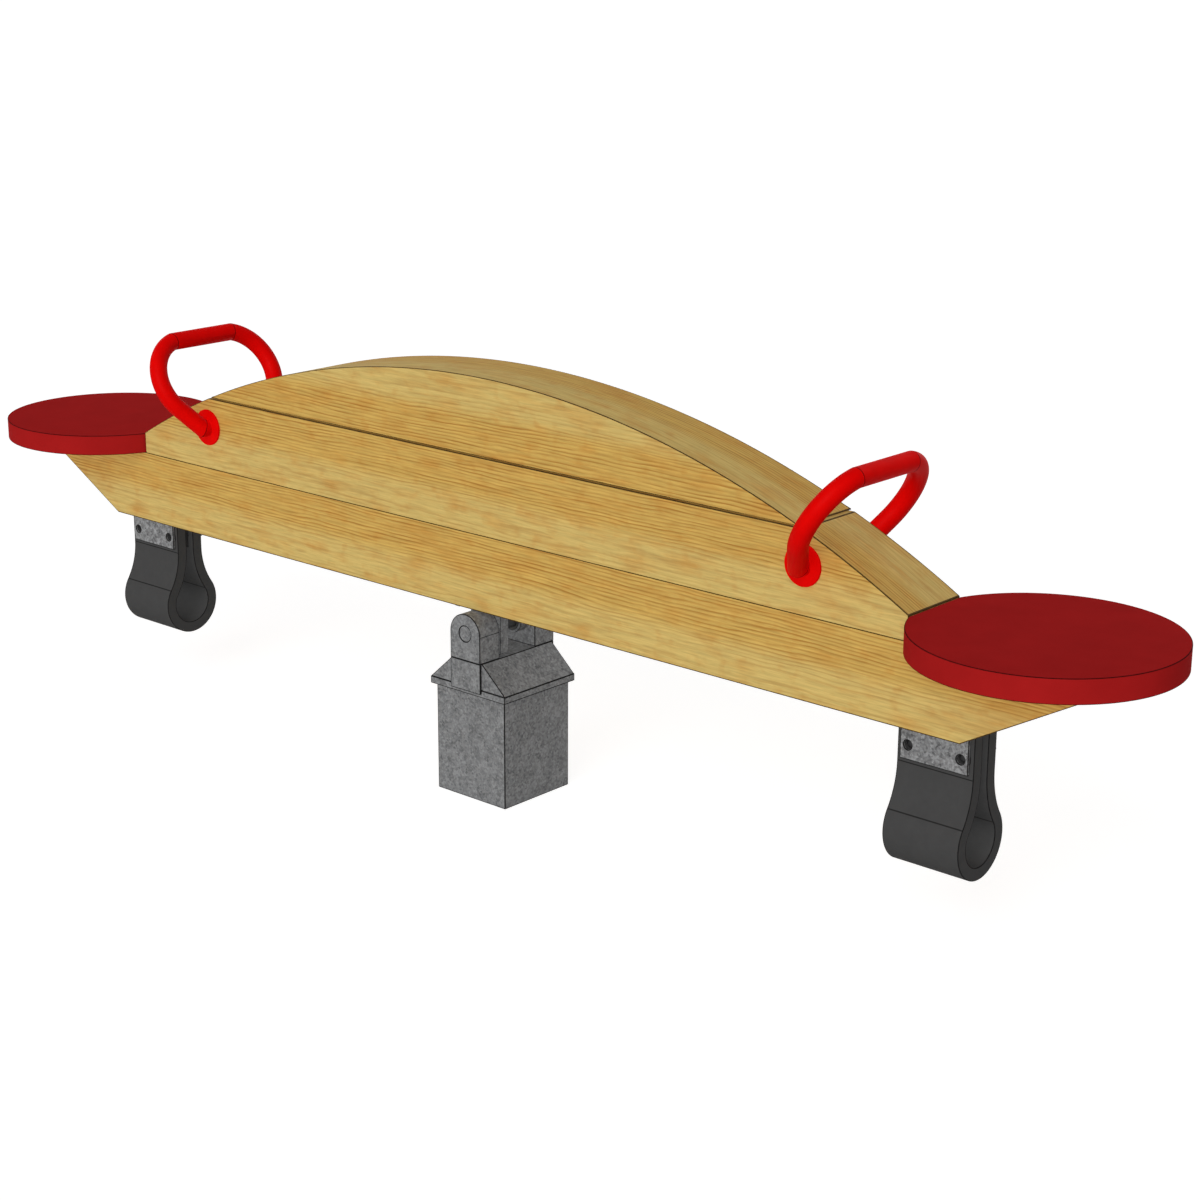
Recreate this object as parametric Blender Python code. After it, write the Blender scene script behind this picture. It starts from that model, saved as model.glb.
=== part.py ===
# Toddler rocker: a laminated timber see-saw beam on a low steel post.
# Metres, +Z up. X runs along the beam, Y across it, and the origin is the
# centre of the post's foot at ground level.

import bpy
import bmesh
from math import asin, cos, pi, radians, sin, sqrt, tan
from mathutils import Vector

# Fit between pieces
GAP = 0.0003                # face to face
HOLE_GAP = 0.0005           # round a screw, bolt or pin, on the radius

# Post and cap
POST_WIDTH = 0.120
POST_WALL = 0.005
POST_CORNER = 0.0008
POST_HEIGHT = 0.1513
LIP_HEIGHT = 0.0093
LIP_WALL = 0.0053
CAP_RISE = 0.0354           # the cap's flat top above its lip
CAP_WALL = 0.005
CAP_SOCKET = 0.007          # how far the post enters the cap
GABLE_INSET = 0.0006

# Fork and pivot
EAR_RADIUS = 0.026
EAR_THICKNESS = 0.0355
PIN_RISE = 0.0355           # the pin above the cap's flat top
PIN_DIAMETER = 0.020
PIN_RECESS = 0.0004
EAR_STRAP_THICKNESS = 0.0027
EAR_STRAP_LAP = 0.0046      # how far the strap runs down over the lip
GRUB_DIAMETER = 0.008
GRUB_SOCKET = 0.004

# Hanger under the beam
BEAM_CLEARANCE = 0.001      # between the ears and the beam's underside
HANGER_LENGTH = 0.150
HANGER_PLATE = 0.006
LUG_RADIUS = 0.0175
LUG_THICKNESS = 0.015
BUSH_WALL = 0.0025
BUSH_FLANGE = 0.0015
BUSH_FLANGE_RIM = 0.003
BUSH_RUNNING_GAP = 0.0004
HANGER_SCREW_INSET = 0.017  # from the plate's ends
HANGER_SCREW_PITCH_Y = 0.034
HANGER_SCREW_DIAMETER = 0.008
HANGER_SCREW_DEPTH = 0.064

# Beam
TIMBER_WIDTH = 0.100
TIMBER_HEIGHT = 0.100
TIMBER_ARRIS = 0.0012
UPPER_JOINT_GAP = 0.0009
MIDDLE_HALF_LENGTH = 0.6535
MIDDLE_END_STEP = 0.0013    # the middle timber's ends above the seats
LOWER_OVERHANG = 0.0725     # the lower timber's underside past the middle timber's end
UNDERCUT_RUN = 0.180
UNDERCUT_NOSE = 0.004
ARC_STEPS = 24
TIE_SCREW_INSETS = (0.4735, 0.3135, 0.0735)     # from the middle timber's end
TIE_SCREW_COVER = 0.030     # from a screw's tip to the curved top
TIE_SCREW_DIAMETER = 0.008
TIE_COUNTERBORE = 0.020
TIE_COUNTERBORE_DIAMETER = 0.024

# Seats
SEAT_RADIUS = 0.150
SEAT_THICKNESS = 0.028
SEAT_EDGE = 0.0012
SEAT_SCREW_DIAMETER = 0.006
SEAT_SCREW_GRIP = 0.018
SEAT_SCREW_OFFSETS = (0.034, 0.100)             # past the lower timber's underside
SEAT_SCREW_INSET = 0.018    # from the slanted underside to a screw's head
SEAT_COUNTERBORE_DIAMETER = 0.018

# Handles
HANDLE_INSET = 0.1415       # from the middle timber's end
HANDLE_RISE = 0.0587        # above the middle timber's underside
HANDLE_TILT = radians(31.4)
HANDLE_TUBE = 0.024
HANDLE_WALL = 0.0025
HANDLE_RISE_ANGLE = radians(53.3)
HANDLE_STRAIGHT = 0.042
HANDLE_BEND_RADIUS = 0.0617
HANDLE_BEND_ANGLE = radians(111.9)
HANDLE_STUB = 0.0008        # straight tube left between flange and mitre
FLANGE_DIAMETER = 0.050
FLANGE_THICKNESS = 0.003
HUB_DIAMETER = 0.020
HUB_DEPTH = 0.014
TIE_ROD_DIAMETER = 0.010

# Dampers
STRAP_WIDTH = 0.100
STRAP_THICKNESS = 0.0152
STRAP_OVERHANG = 0.002      # the strap's outer side past the lower timber's underside
LOOP_RADIUS = 0.0372        # to the middle of the strap
LOOP_SEAM_ANGLE = radians(35)
NECK_RADIUS = 0.100
NECK_DROP = 0.0035          # from the plate's lower edge to where the strap starts to curve
TONGUE_THICKNESS = 0.012
TONGUE_DEPTH = 0.048
BASE_END_MARGIN = 0.010     # inside the strap's width
BASE_SIDE_MARGIN = 0.005    # inside the beam's width
BASE_THICKNESS = 0.006
PLATE_MARGIN = 0.0055       # inside the strap's width
PLATE_DEPTH = 0.045         # from the beam's underside to the plate's lower edge
PLATE_THICKNESS = 0.0035
PLATE_TOP_GAP = 0.002
DAMPER_BOLT_DIAMETER = 0.010
DAMPER_BOLT_INSET = 0.010   # from the plate's ends
DAMPER_BOLT_DROP = 0.028
DAMPER_BOLT_RECESS = 0.006  # the bolt's end behind the front plate's face
NUT_FLATS = 0.017
NUT_HEIGHT = 0.008
BASE_SCREW_DIAMETER = 0.006
BASE_SCREW_DEPTH = 0.050
BASE_SCREW_INSET_X = 0.010  # from the base plate's edges
BASE_SCREW_INSET_Y = 0.011

# Facets
ROUND_SIDES = 24
HALF_ROUND_STEPS = 14
BORE_SIDES = 24
COUNTERBORE_SIDES = 12
SCREW_SIDES = 12
TUBE_SIDES = 16
TUBE_BORE_SIDES = 6
BEND_STEPS = 10
SEAT_STEPS = 44
LOOP_STEPS = 14
NECK_STEPS = 5

# Worked out from the sizes above
HALF_BEAM = TIMBER_WIDTH / 2
LIP_HALF = POST_WIDTH / 2 + GAP + LIP_WALL
LIP_BOTTOM = POST_HEIGHT - CAP_SOCKET
LIP_TOP = LIP_BOTTOM + LIP_HEIGHT
CAP_TOP = LIP_TOP + CAP_RISE
EAR_FACE = LIP_HALF + GAP + EAR_STRAP_THICKNESS
HALF_FORK = EAR_FACE - EAR_THICKNESS
PIN_HEIGHT = CAP_TOP + PIN_RISE
BEAM_BOTTOM = PIN_HEIGHT + EAR_RADIUS + BEAM_CLEARANCE
LOWER_TOP = BEAM_BOTTOM + TIMBER_HEIGHT
MIDDLE_BOTTOM = LOWER_TOP + GAP
MIDDLE_TOP = MIDDLE_BOTTOM + TIMBER_HEIGHT
UPPER_BOTTOM = MIDDLE_TOP + UPPER_JOINT_GAP
SEAT_BOTTOM = LOWER_TOP + GAP
LOWER_HALF_LENGTH = MIDDLE_HALF_LENGTH + LOWER_OVERHANG
ARC_APEX = UPPER_BOTTOM + TIMBER_HEIGHT
ARC_RISE = ARC_APEX - SEAT_BOTTOM - SEAT_THICKNESS - MIDDLE_END_STEP
ARC_RADIUS = (MIDDLE_HALF_LENGTH ** 2 + ARC_RISE ** 2) / (2 * ARC_RISE)
ARC_CENTRE = ARC_APEX - ARC_RADIUS
HANGER_TOP = BEAM_BOTTOM - GAP
HANGER_BOTTOM = HANGER_TOP - HANGER_PLATE
HANGER_SCREW_X = HANGER_LENGTH / 2 - HANGER_SCREW_INSET
LUG_FACE = HALF_FORK - GAP - BUSH_FLANGE - GAP
SEAT_CENTRE = MIDDLE_HALF_LENGTH + GAP + sqrt(SEAT_RADIUS ** 2 - HALF_BEAM ** 2)
HANDLE_X = MIDDLE_HALF_LENGTH - HANDLE_INSET
HANDLE_HEIGHT = MIDDLE_BOTTOM + HANDLE_RISE
DAMPER_CENTRE = LOWER_HALF_LENGTH + STRAP_OVERHANG - STRAP_WIDTH / 2
BASE_LENGTH = STRAP_WIDTH - 2 * BASE_END_MARGIN
BASE_WIDTH = TIMBER_WIDTH - 2 * BASE_SIDE_MARGIN
PLATE_LENGTH = STRAP_WIDTH - 2 * PLATE_MARGIN
STRAP_INNER = TONGUE_THICKNESS / 2 + GAP
STRAP_OUTER = STRAP_INNER + STRAP_THICKNESS
PLATE_BACK = STRAP_OUTER + GAP
PLATE_FACE = PLATE_BACK + PLATE_THICKNESS
PLATE_BOTTOM = BEAM_BOTTOM - PLATE_DEPTH
DAMPER_BOLT_X = PLATE_LENGTH / 2 - DAMPER_BOLT_INSET
DAMPER_BOLT_HEIGHT = BEAM_BOTTOM - DAMPER_BOLT_DROP

SIDES = (("left", -1), ("right", 1))
FACES = (("front", -1), ("rear", 1))


def clear_scene():
    for old in list(bpy.data.objects):
        bpy.data.objects.remove(old, do_unlink=True)


def srgb(hex_colour):
    """A linear colour from an sRGB hex string."""
    channels = [int(hex_colour[i:i + 2], 16) / 255 for i in (0, 2, 4)]
    linear = [c / 12.92 if c <= 0.04045 else ((c + 0.055) / 1.055) ** 2.4 for c in channels]
    return (*linear, 1.0)


def new_material(name, hex_colour, roughness, metallic=0.0):
    material = bpy.data.materials.new(name)
    material.use_nodes = True
    shader = material.node_tree.nodes["Principled BSDF"]
    shader.inputs["Base Color"].default_value = srgb(hex_colour)
    shader.inputs["Roughness"].default_value = roughness
    shader.inputs["Metallic"].default_value = metallic
    material.diffuse_color = srgb(hex_colour)
    return material


FINISHES = {
    "galvanised": ("7C7C7C", 0.55, 0.9),
    "timber": ("CBA75C", 0.7, 0.0),
    "seat": ("8E1718", 0.5, 0.0),
    "red_paint": ("E00505", 0.35, 0.0),
    "rubber": ("424242", 0.8, 0.0),
    "black_steel": ("333333", 0.6, 0.0),
    "zinc": ("A2A4A6", 0.4, 0.9),
    "nylon": ("D8D6CC", 0.5, 0.0),
}


def make_mesh(name, bm, finish):
    """Turn a bmesh into a mesh with its material, smooth on its round faces."""
    bmesh.ops.recalc_face_normals(bm, faces=bm.faces)
    mesh = bpy.data.meshes.new(name)
    bm.to_mesh(mesh)
    bm.free()
    mesh.materials.append(new_material(name, *FINISHES[finish]))
    mesh.shade_smooth()
    mesh.set_sharp_from_angle(angle=radians(32))
    return mesh


def place(name, mesh, at=(0, 0, 0), parent=None):
    """Stand a mesh at a world position as the object for one node."""
    node = bpy.data.objects.new(name, mesh)
    bpy.context.scene.collection.objects.link(node)
    node.location = Vector(at)
    if parent:
        node.parent = parent
        node.location = Vector(at) - parent.location
    return node


def make_object(name, bm, finish, at=(0, 0, 0), parent=None):
    return place(name, make_mesh(name, bm, finish), at, parent)


def make_cutter(name, bm):
    """An object that only cuts others: hidden in renders, drawn as wire."""
    bmesh.ops.recalc_face_normals(bm, faces=bm.faces)
    mesh = bpy.data.meshes.new(name)
    bm.to_mesh(mesh)
    bm.free()
    cutter = bpy.data.objects.new(name, mesh)
    bpy.context.scene.collection.objects.link(cutter)
    cutter.hide_render = True
    cutter.display_type = "WIRE"
    return cutter


def combine(node, bm, name, operation="DIFFERENCE"):
    """Cut a shape, given in world coordinates, out of a node or join it on."""
    modifier = node.modifiers.new(name, "BOOLEAN")
    modifier.operation = operation
    modifier.solver = "EXACT"
    modifier.object = make_cutter(f"{node.name}_{name}", bm)


def bevel_edges(node, width, segments=1):
    modifier = node.modifiers.new("edges", "BEVEL")
    modifier.width = width
    modifier.segments = segments
    modifier.limit_method = "ANGLE"
    modifier.angle_limit = radians(50)


def on_axis(axis, u, v, along):
    """A point whose u, v lie in the plane square to the axis."""
    if axis == "X":
        return Vector((along, u, v))
    if axis == "Y":
        return Vector((u, along, v))
    return Vector((u, v, along))


def skin(bm, rings):
    """Join rings of as many points each into one closed body with flat ends."""
    rows = [[bm.verts.new(point) for point in ring] for ring in rings]
    for lower, upper in zip(rows, rows[1:]):
        for i in range(len(lower)):
            j = (i + 1) % len(lower)
            bm.faces.new((lower[i], lower[j], upper[j], upper[i]))
    bm.faces.new(rows[0])
    bm.faces.new(list(reversed(rows[-1])))
    return rows


def add_prism(bm, outline, axis, start, end):
    skin(bm, [[on_axis(axis, u, v, along) for u, v in outline] for along in (start, end)])


def rectangle(half_u, low_v, high_v):
    return [(-half_u, low_v), (half_u, low_v), (half_u, high_v), (-half_u, high_v)]


def box_outline(low_u, high_u, low_v, high_v):
    return [(low_u, low_v), (high_u, low_v), (high_u, high_v), (low_u, high_v)]


def circle(radius, sides, centre=(0, 0), turn=0.5):
    step = 2 * pi / sides
    angles = [(i + turn) * step for i in range(sides)]
    return [(centre[0] + radius * cos(a), centre[1] + radius * sin(a)) for a in angles]


def add_cylinder(bm, axis, centre, radius, start, end, sides=BORE_SIDES):
    add_prism(bm, circle(radius, sides, centre), axis, start, end)


def hexagon_ring(across_flats, z):
    """Twelve points round a hexagon: its corners and the middles of its sides."""
    ring = []
    for i in range(SCREW_SIDES):
        radius = across_flats / 2 if i % 2 else across_flats / sqrt(3)
        angle = 2 * pi * i / SCREW_SIDES
        ring.append(Vector((radius * cos(angle), radius * sin(angle), z)))
    return ring


def round_ring(diameter, z):
    angles = [2 * pi * i / SCREW_SIDES for i in range(SCREW_SIDES)]
    return [Vector((diameter / 2 * cos(a), diameter / 2 * sin(a), z)) for a in angles]


def make_fasteners(name, rings, direction, places, parent, finish="zinc"):
    """One mesh, skinned from rings along +Z and turned to its direction, then
    an object for each place."""
    turn = Vector((0, 0, 1)).rotation_difference(Vector(direction)).to_matrix()
    bm = bmesh.new()
    skin(bm, [[turn @ point for point in ring] for ring in rings])
    mesh = make_mesh(name, bm, finish)
    for number, at in enumerate(places, 1):
        label = f"{name}_{number}" if len(places) > 1 else name
        place(label, mesh, at, parent)


def hex_head_rings(diameter, length, head_height, across_flats):
    """A hex screw whose head bears on z = 0 and whose shank runs up to its point."""
    return [
        hexagon_ring(across_flats, -head_height),
        hexagon_ring(across_flats, 0),
        round_ring(diameter, 0),
        round_ring(diameter, length - diameter),
        round_ring(diameter * 0.35, length),
    ]


def countersunk_rings(diameter, length, socket):
    """A countersunk screw with a hex socket, its flat head level with z = 0."""
    head = diameter * 1.9
    return [
        hexagon_ring(socket, diameter * 0.35),
        hexagon_ring(socket, 0),
        round_ring(head, 0),
        round_ring(diameter, diameter * 0.5),
        round_ring(diameter, length - diameter),
        round_ring(diameter * 0.35, length),
    ]


def arc_height(x):
    """Height of the beam's curved top at a distance along the beam."""
    return ARC_CENTRE + sqrt(ARC_RADIUS ** 2 - x ** 2)


def arc_reach(z):
    """Distance along the beam at which the curved top comes down to a height."""
    return sqrt(ARC_RADIUS ** 2 - (z - ARC_CENTRE) ** 2)


def hang_radius(bore_radius, sides=BORE_SIDES):
    """Radius of a faceted bore whose flats clear a round of the given radius."""
    return bore_radius / cos(pi / sides)


# Post, cap and fork

def build_post_tube():
    outer = POST_WIDTH / 2
    bm = bmesh.new()
    add_prism(bm, box_outline(-outer, outer, -outer, outer), "Z", 0, POST_HEIGHT - GAP)
    upright = [e for e in bm.edges if abs(e.verts[0].co.z - e.verts[1].co.z) > POST_HEIGHT / 2]
    bmesh.ops.bevel(bm, geom=upright, offset=POST_CORNER, segments=3, affect="EDGES", profile=0.5)
    post = make_object("post_tube", bm, "galvanised")
    inner = outer - POST_WALL
    hollow = bmesh.new()
    add_prism(hollow, box_outline(-inner, inner, -inner, inner), "Z", -POST_WALL, POST_HEIGHT + POST_WALL)
    combine(post, hollow, "hollow")


def build_post_cap():
    low = [(-LIP_HALF, LIP_BOTTOM), (LIP_HALF, LIP_BOTTOM)]
    lip = low + [(LIP_HALF, LIP_TOP), (EAR_RADIUS, LIP_TOP), (-EAR_RADIUS, LIP_TOP), (-LIP_HALF, LIP_TOP)]
    roof = low + [(LIP_HALF, LIP_TOP), (EAR_RADIUS, CAP_TOP), (-EAR_RADIUS, CAP_TOP), (-LIP_HALF, LIP_TOP)]
    gable = LIP_HALF - GABLE_INSET
    stations = ((-LIP_HALF, lip), (-gable, lip), (-gable, roof), (gable, roof), (gable, lip), (LIP_HALF, lip))
    bm = bmesh.new()
    skin(bm, [[on_axis("Y", x, z, y) for x, z in outline] for y, outline in stations])
    bmesh.ops.remove_doubles(bm, verts=bm.verts, dist=1e-6)
    cap = make_object("post_cap", bm, "galvanised")

    socket_half = POST_WIDTH / 2 + GAP
    ledge_half = POST_WIDTH / 2 - POST_WALL
    slope = (CAP_TOP - LIP_TOP) / (LIP_HALF - EAR_RADIUS)
    drop = CAP_WALL * sqrt(1 + slope ** 2)
    ceiling = CAP_TOP - CAP_WALL

    def inner_height(x):
        return LIP_TOP - drop + (LIP_HALF - x) * slope

    inner_top = LIP_HALF - (ceiling - LIP_TOP + drop) / slope
    cavity = [(-ledge_half, POST_HEIGHT - CAP_WALL), (ledge_half, POST_HEIGHT - CAP_WALL),
              (ledge_half, inner_height(ledge_half)), (inner_top, ceiling),
              (-inner_top, ceiling), (-ledge_half, inner_height(ledge_half))]
    hollow = bmesh.new()
    add_prism(hollow, cavity, "Y", -ledge_half, ledge_half)
    combine(cap, hollow, "cavity")
    socket = bmesh.new()
    square = box_outline(-socket_half, socket_half, -socket_half, socket_half)
    add_prism(socket, square, "Z", LIP_BOTTOM - CAP_WALL, POST_HEIGHT)
    combine(cap, socket, "socket")


def bar_outline(radius, square_end, side=1):
    """A bar with a round end about the pin; side -1 puts the round end below."""
    arc = [(radius * cos(a), PIN_HEIGHT + side * radius * sin(a))
           for a in (pi * i / HALF_ROUND_STEPS for i in range(HALF_ROUND_STEPS + 1))]
    return [(-radius, square_end), (radius, square_end)] + arc


def build_fork():
    bore = hang_radius(PIN_DIAMETER / 2 + HOLE_GAP)
    for face, sign in FACES:
        near, far = sorted((sign * HALF_FORK, sign * EAR_FACE))
        bm = bmesh.new()
        add_prism(bm, bar_outline(EAR_RADIUS, CAP_TOP + GAP), "Y", near, far)
        ear = make_object(f"{face}_ear", bm, "galvanised")
        hole = bmesh.new()
        add_cylinder(hole, "Y", (0, PIN_HEIGHT), bore, near - POST_WALL, far + POST_WALL)
        combine(ear, hole, "bore")
        if face == "rear":
            grub_hole = bmesh.new()
            centre = (sign * (HALF_FORK + EAR_THICKNESS / 2), PIN_HEIGHT)
            radius = hang_radius(GRUB_DIAMETER / 2 + HOLE_GAP, SCREW_SIDES)
            add_cylinder(grub_hole, "X", centre, radius, -EAR_RADIUS - POST_WALL, 0, SCREW_SIDES)
            combine(ear, grub_hole, "grub_hole")

        inner, outer = sorted((sign * (LIP_HALF + GAP), sign * EAR_FACE))
        strap = bmesh.new()
        add_prism(strap, rectangle(EAR_RADIUS, LIP_TOP - EAR_STRAP_LAP, CAP_TOP), "Y", inner, outer)
        make_object(f"{face}_ear_strap", strap, "galvanised")


def build_pin():
    half = EAR_FACE - PIN_RECESS
    radius = PIN_DIAMETER / 2
    chamfer = PIN_DIAMETER * 0.04
    stations = ((-half, radius - chamfer), (-half + chamfer, radius),
                (half - chamfer, radius), (half, radius - chamfer))
    bm = bmesh.new()
    skin(bm, [[on_axis("Y", x, z, y) for x, z in circle(r, ROUND_SIDES)] for y, r in stations])
    make_object("pivot_pin", bm, "zinc", at=(0, 0, PIN_HEIGHT))


def build_grub_screw():
    """Locks the pin in the rear ear, from the side away from the slope."""
    length = EAR_RADIUS - PIN_DIAMETER / 2 - 2 * GAP
    rings = [
        hexagon_ring(GRUB_SOCKET, length * 0.35),
        hexagon_ring(GRUB_SOCKET, 0),
        round_ring(GRUB_DIAMETER, 0),
        round_ring(GRUB_DIAMETER, length * 0.9),
        round_ring(GRUB_DIAMETER * 0.7, length),
    ]
    at = (-EAR_RADIUS + GAP, HALF_FORK + EAR_THICKNESS / 2, PIN_HEIGHT)
    make_fasteners("pin_grub_screw", rings, (1, 0, 0), [at], None)


# Hanger, its bushes and screws

def bush_outer_radius():
    return hang_radius(PIN_DIAMETER / 2 + BUSH_RUNNING_GAP) + BUSH_WALL


def hanger_screw_places():
    for side in (-1, 1):
        for row in (-1, 1):
            yield side * HANGER_SCREW_X, row * HANGER_SCREW_PITCH_Y / 2


def build_hanger(pivot):
    """A saddle plate with two round-ended lugs that straddle the pin's middle."""
    half = HANGER_LENGTH / 2
    lug_back = LUG_FACE - LUG_THICKNESS
    lug = bar_outline(LUG_RADIUS, HANGER_BOTTOM, -1)
    bare = [(x, HANGER_BOTTOM) for x, z in lug]
    plate = [(-half, HANGER_TOP), (-half, HANGER_BOTTOM)]
    plate_end = [(half, HANGER_BOTTOM), (half, HANGER_TOP)]
    stations = ((-LUG_FACE, lug), (-lug_back, lug), (-lug_back, bare),
                (lug_back, bare), (lug_back, lug), (LUG_FACE, lug))
    bm = bmesh.new()
    rings = []
    for y, outline in stations:
        below = [outline[0]] + list(reversed(outline[2:])) + [outline[1]]
        ring = plate + below + plate_end
        rings.append([on_axis("Y", x, z, y) for x, z in ring])
    skin(bm, rings)
    bmesh.ops.remove_doubles(bm, verts=bm.verts, dist=1e-6)
    bmesh.ops.dissolve_degenerate(bm, edges=bm.edges, dist=1e-6)
    bmesh.ops.translate(bm, verts=bm.verts, vec=(0, 0, -PIN_HEIGHT))
    hanger = make_object("pivot_hanger", bm, "galvanised", (0, 0, PIN_HEIGHT), pivot)

    holes = bmesh.new()
    bore = hang_radius(bush_outer_radius() + GAP)
    add_cylinder(holes, "Y", (0, PIN_HEIGHT), bore, -HALF_FORK, HALF_FORK)
    radius = hang_radius(HANGER_SCREW_DIAMETER / 2 + HOLE_GAP, SCREW_SIDES)
    for spot in hanger_screw_places():
        add_cylinder(holes, "Z", spot, radius, HANGER_BOTTOM - GAP, HANGER_TOP + GAP, SCREW_SIDES)
    combine(hanger, holes, "holes")


def build_bushes(pivot):
    """Flanged plain bearings: the flange runs against the ear, the sleeve in the lug."""
    outer = bush_outer_radius()
    flange = outer + BUSH_FLANGE_RIM
    bore = hang_radius(PIN_DIAMETER / 2 + BUSH_RUNNING_GAP)
    sleeve_end = LUG_FACE - LUG_THICKNESS
    flange_back = LUG_FACE + GAP
    flange_face = flange_back + BUSH_FLANGE
    for face, sign in FACES:
        stations = ((sleeve_end, outer), (flange_back, outer), (flange_back, flange), (flange_face, flange))
        rings = [[on_axis("Y", x, z, sign * y) for x, z in circle(r, BORE_SIDES)] for y, r in stations]
        bm = bmesh.new()
        skin(bm, rings)
        bush = make_object(f"{face}_pivot_bush", bm, "nylon", (0, 0, PIN_HEIGHT), pivot)
        low, high = sorted((sign * (sleeve_end - GAP), sign * (flange_face + GAP)))
        hole = bmesh.new()
        add_cylinder(hole, "Y", (0, PIN_HEIGHT), bore, low, high)
        combine(bush, hole, "bore")


def build_hanger_screws(pivot):
    head = HANGER_SCREW_DIAMETER * 0.66
    length = HANGER_PLATE + GAP + HANGER_SCREW_DEPTH
    rings = hex_head_rings(HANGER_SCREW_DIAMETER, length, head, HANGER_SCREW_DIAMETER * 1.6)
    places = [(x, y, HANGER_BOTTOM - GAP) for x, y in hanger_screw_places()]
    make_fasteners("hanger_screw", rings, (0, 0, 1), places, pivot)


# Beam of three timbers

def timber_ring(x, bottom, top):
    """The timber's cross-section with its long arrises taken off."""
    arris = min(TIMBER_ARRIS, (top - bottom) * 0.3)
    w = HALF_BEAM
    profile = [(-w + arris, bottom), (w - arris, bottom), (w, bottom + arris), (w, top - arris),
               (w - arris, top), (-w + arris, top), (-w, top - arris), (-w, bottom + arris)]
    return [Vector((x, y, z)) for y, z in profile]


def make_timber(name, stations, pivot):
    bm = bmesh.new()
    skin(bm, [timber_ring(*station) for station in stations])
    bmesh.ops.translate(bm, verts=bm.verts, vec=(0, 0, -PIN_HEIGHT))
    return make_object(name, bm, "timber", (0, 0, PIN_HEIGHT), pivot)


def spread(start, end, steps):
    return [start + (end - start) * i / steps for i in range(steps + 1)]


def tie_screws():
    """Where each pair of tie screws sits along the beam, and its tips' height."""
    for inset in TIE_SCREW_INSETS:
        x = MIDDLE_HALF_LENGTH - inset
        yield x, arc_height(x) - TIE_SCREW_COVER


def tie_screw_places():
    for x, tip in tie_screws():
        for sign in (-1, 1):
            yield sign * x, tip


def seat_screws():
    """Where the seat screws sit along the beam, and how high their heads bear."""
    for offset in SEAT_SCREW_OFFSETS:
        underside = BEAM_BOTTOM + TIMBER_HEIGHT * offset / UNDERCUT_RUN
        yield LOWER_HALF_LENGTH + offset, underside + SEAT_SCREW_INSET


def base_screw_places(sign):
    for side in (-1, 1):
        for row in (-1, 1):
            yield (sign * DAMPER_CENTRE + side * (BASE_LENGTH / 2 - BASE_SCREW_INSET_X),
                   row * (BASE_WIDTH / 2 - BASE_SCREW_INSET_Y))


def build_lower_timber(pivot):
    nose = LOWER_HALF_LENGTH + UNDERCUT_RUN * (1 - UNDERCUT_NOSE / TIMBER_HEIGHT)
    nose_bottom = LOWER_TOP - UNDERCUT_NOSE
    half = [(LOWER_HALF_LENGTH, BEAM_BOTTOM, LOWER_TOP), (nose, nose_bottom, LOWER_TOP)]
    stations = [(-x, low, high) for x, low, high in reversed(half)] + half
    timber = make_timber("lower_timber", stations, pivot)

    holes = bmesh.new()
    pilot = hang_radius(HANGER_SCREW_DIAMETER / 2 + HOLE_GAP, SCREW_SIDES)
    for spot in hanger_screw_places():
        top = BEAM_BOTTOM + HANGER_SCREW_DEPTH + HOLE_GAP
        add_cylinder(holes, "Z", spot, pilot, BEAM_BOTTOM - GAP, top, SCREW_SIDES)
    combine(timber, holes, "hanger_holes")

    ties = bmesh.new()
    tie_hole = hang_radius(TIE_SCREW_DIAMETER / 2 + HOLE_GAP, COUNTERBORE_SIDES)
    for x, tip in tie_screw_places():
        rings = [[on_axis("Z", u, v, z) for u, v in circle(r, COUNTERBORE_SIDES, (x, 0))]
                 for r, z in ((TIE_COUNTERBORE_DIAMETER / 2, BEAM_BOTTOM - GAP),
                              (TIE_COUNTERBORE_DIAMETER / 2, BEAM_BOTTOM + TIE_COUNTERBORE),
                              (tie_hole, BEAM_BOTTOM + TIE_COUNTERBORE),
                              (tie_hole, LOWER_TOP + GAP))]
        skin(ties, rings)
    combine(timber, ties, "tie_holes")

    for side, sign in SIDES:
        pocket = bmesh.new()
        centre = sign * DAMPER_CENTRE
        half_x = BASE_LENGTH / 2 + GAP
        half_y = BASE_WIDTH / 2 + GAP
        floor = BEAM_BOTTOM + BASE_THICKNESS + GAP
        outline = box_outline(centre - half_x, centre + half_x, -half_y, half_y)
        add_prism(pocket, outline, "Z", BEAM_BOTTOM - GAP, floor)
        combine(timber, pocket, f"{side}_pocket")
        screws = bmesh.new()
        radius = hang_radius(BASE_SCREW_DIAMETER / 2 + HOLE_GAP, SCREW_SIDES)
        for spot in base_screw_places(sign):
            top = BEAM_BOTTOM + BASE_SCREW_DEPTH + HOLE_GAP
            add_cylinder(screws, "Z", spot, radius, floor - GAP, top, SCREW_SIDES)
        combine(timber, screws, f"{side}_base_screw_holes")
        seat_holes = bmesh.new()
        for x, head in seat_screws():
            bore = hang_radius(SEAT_SCREW_DIAMETER / 2 + HOLE_GAP, SCREW_SIDES)
            wide = SEAT_COUNTERBORE_DIAMETER / 2
            rings = [[on_axis("Z", u, v, z) for u, v in circle(r, SCREW_SIDES, (sign * x, 0))]
                     for r, z in ((wide, BEAM_BOTTOM - GAP), (wide, head), (bore, head), (bore, LOWER_TOP + GAP))]
            skin(seat_holes, rings)
        combine(timber, seat_holes, f"{side}_seat_screw_holes")


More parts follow.
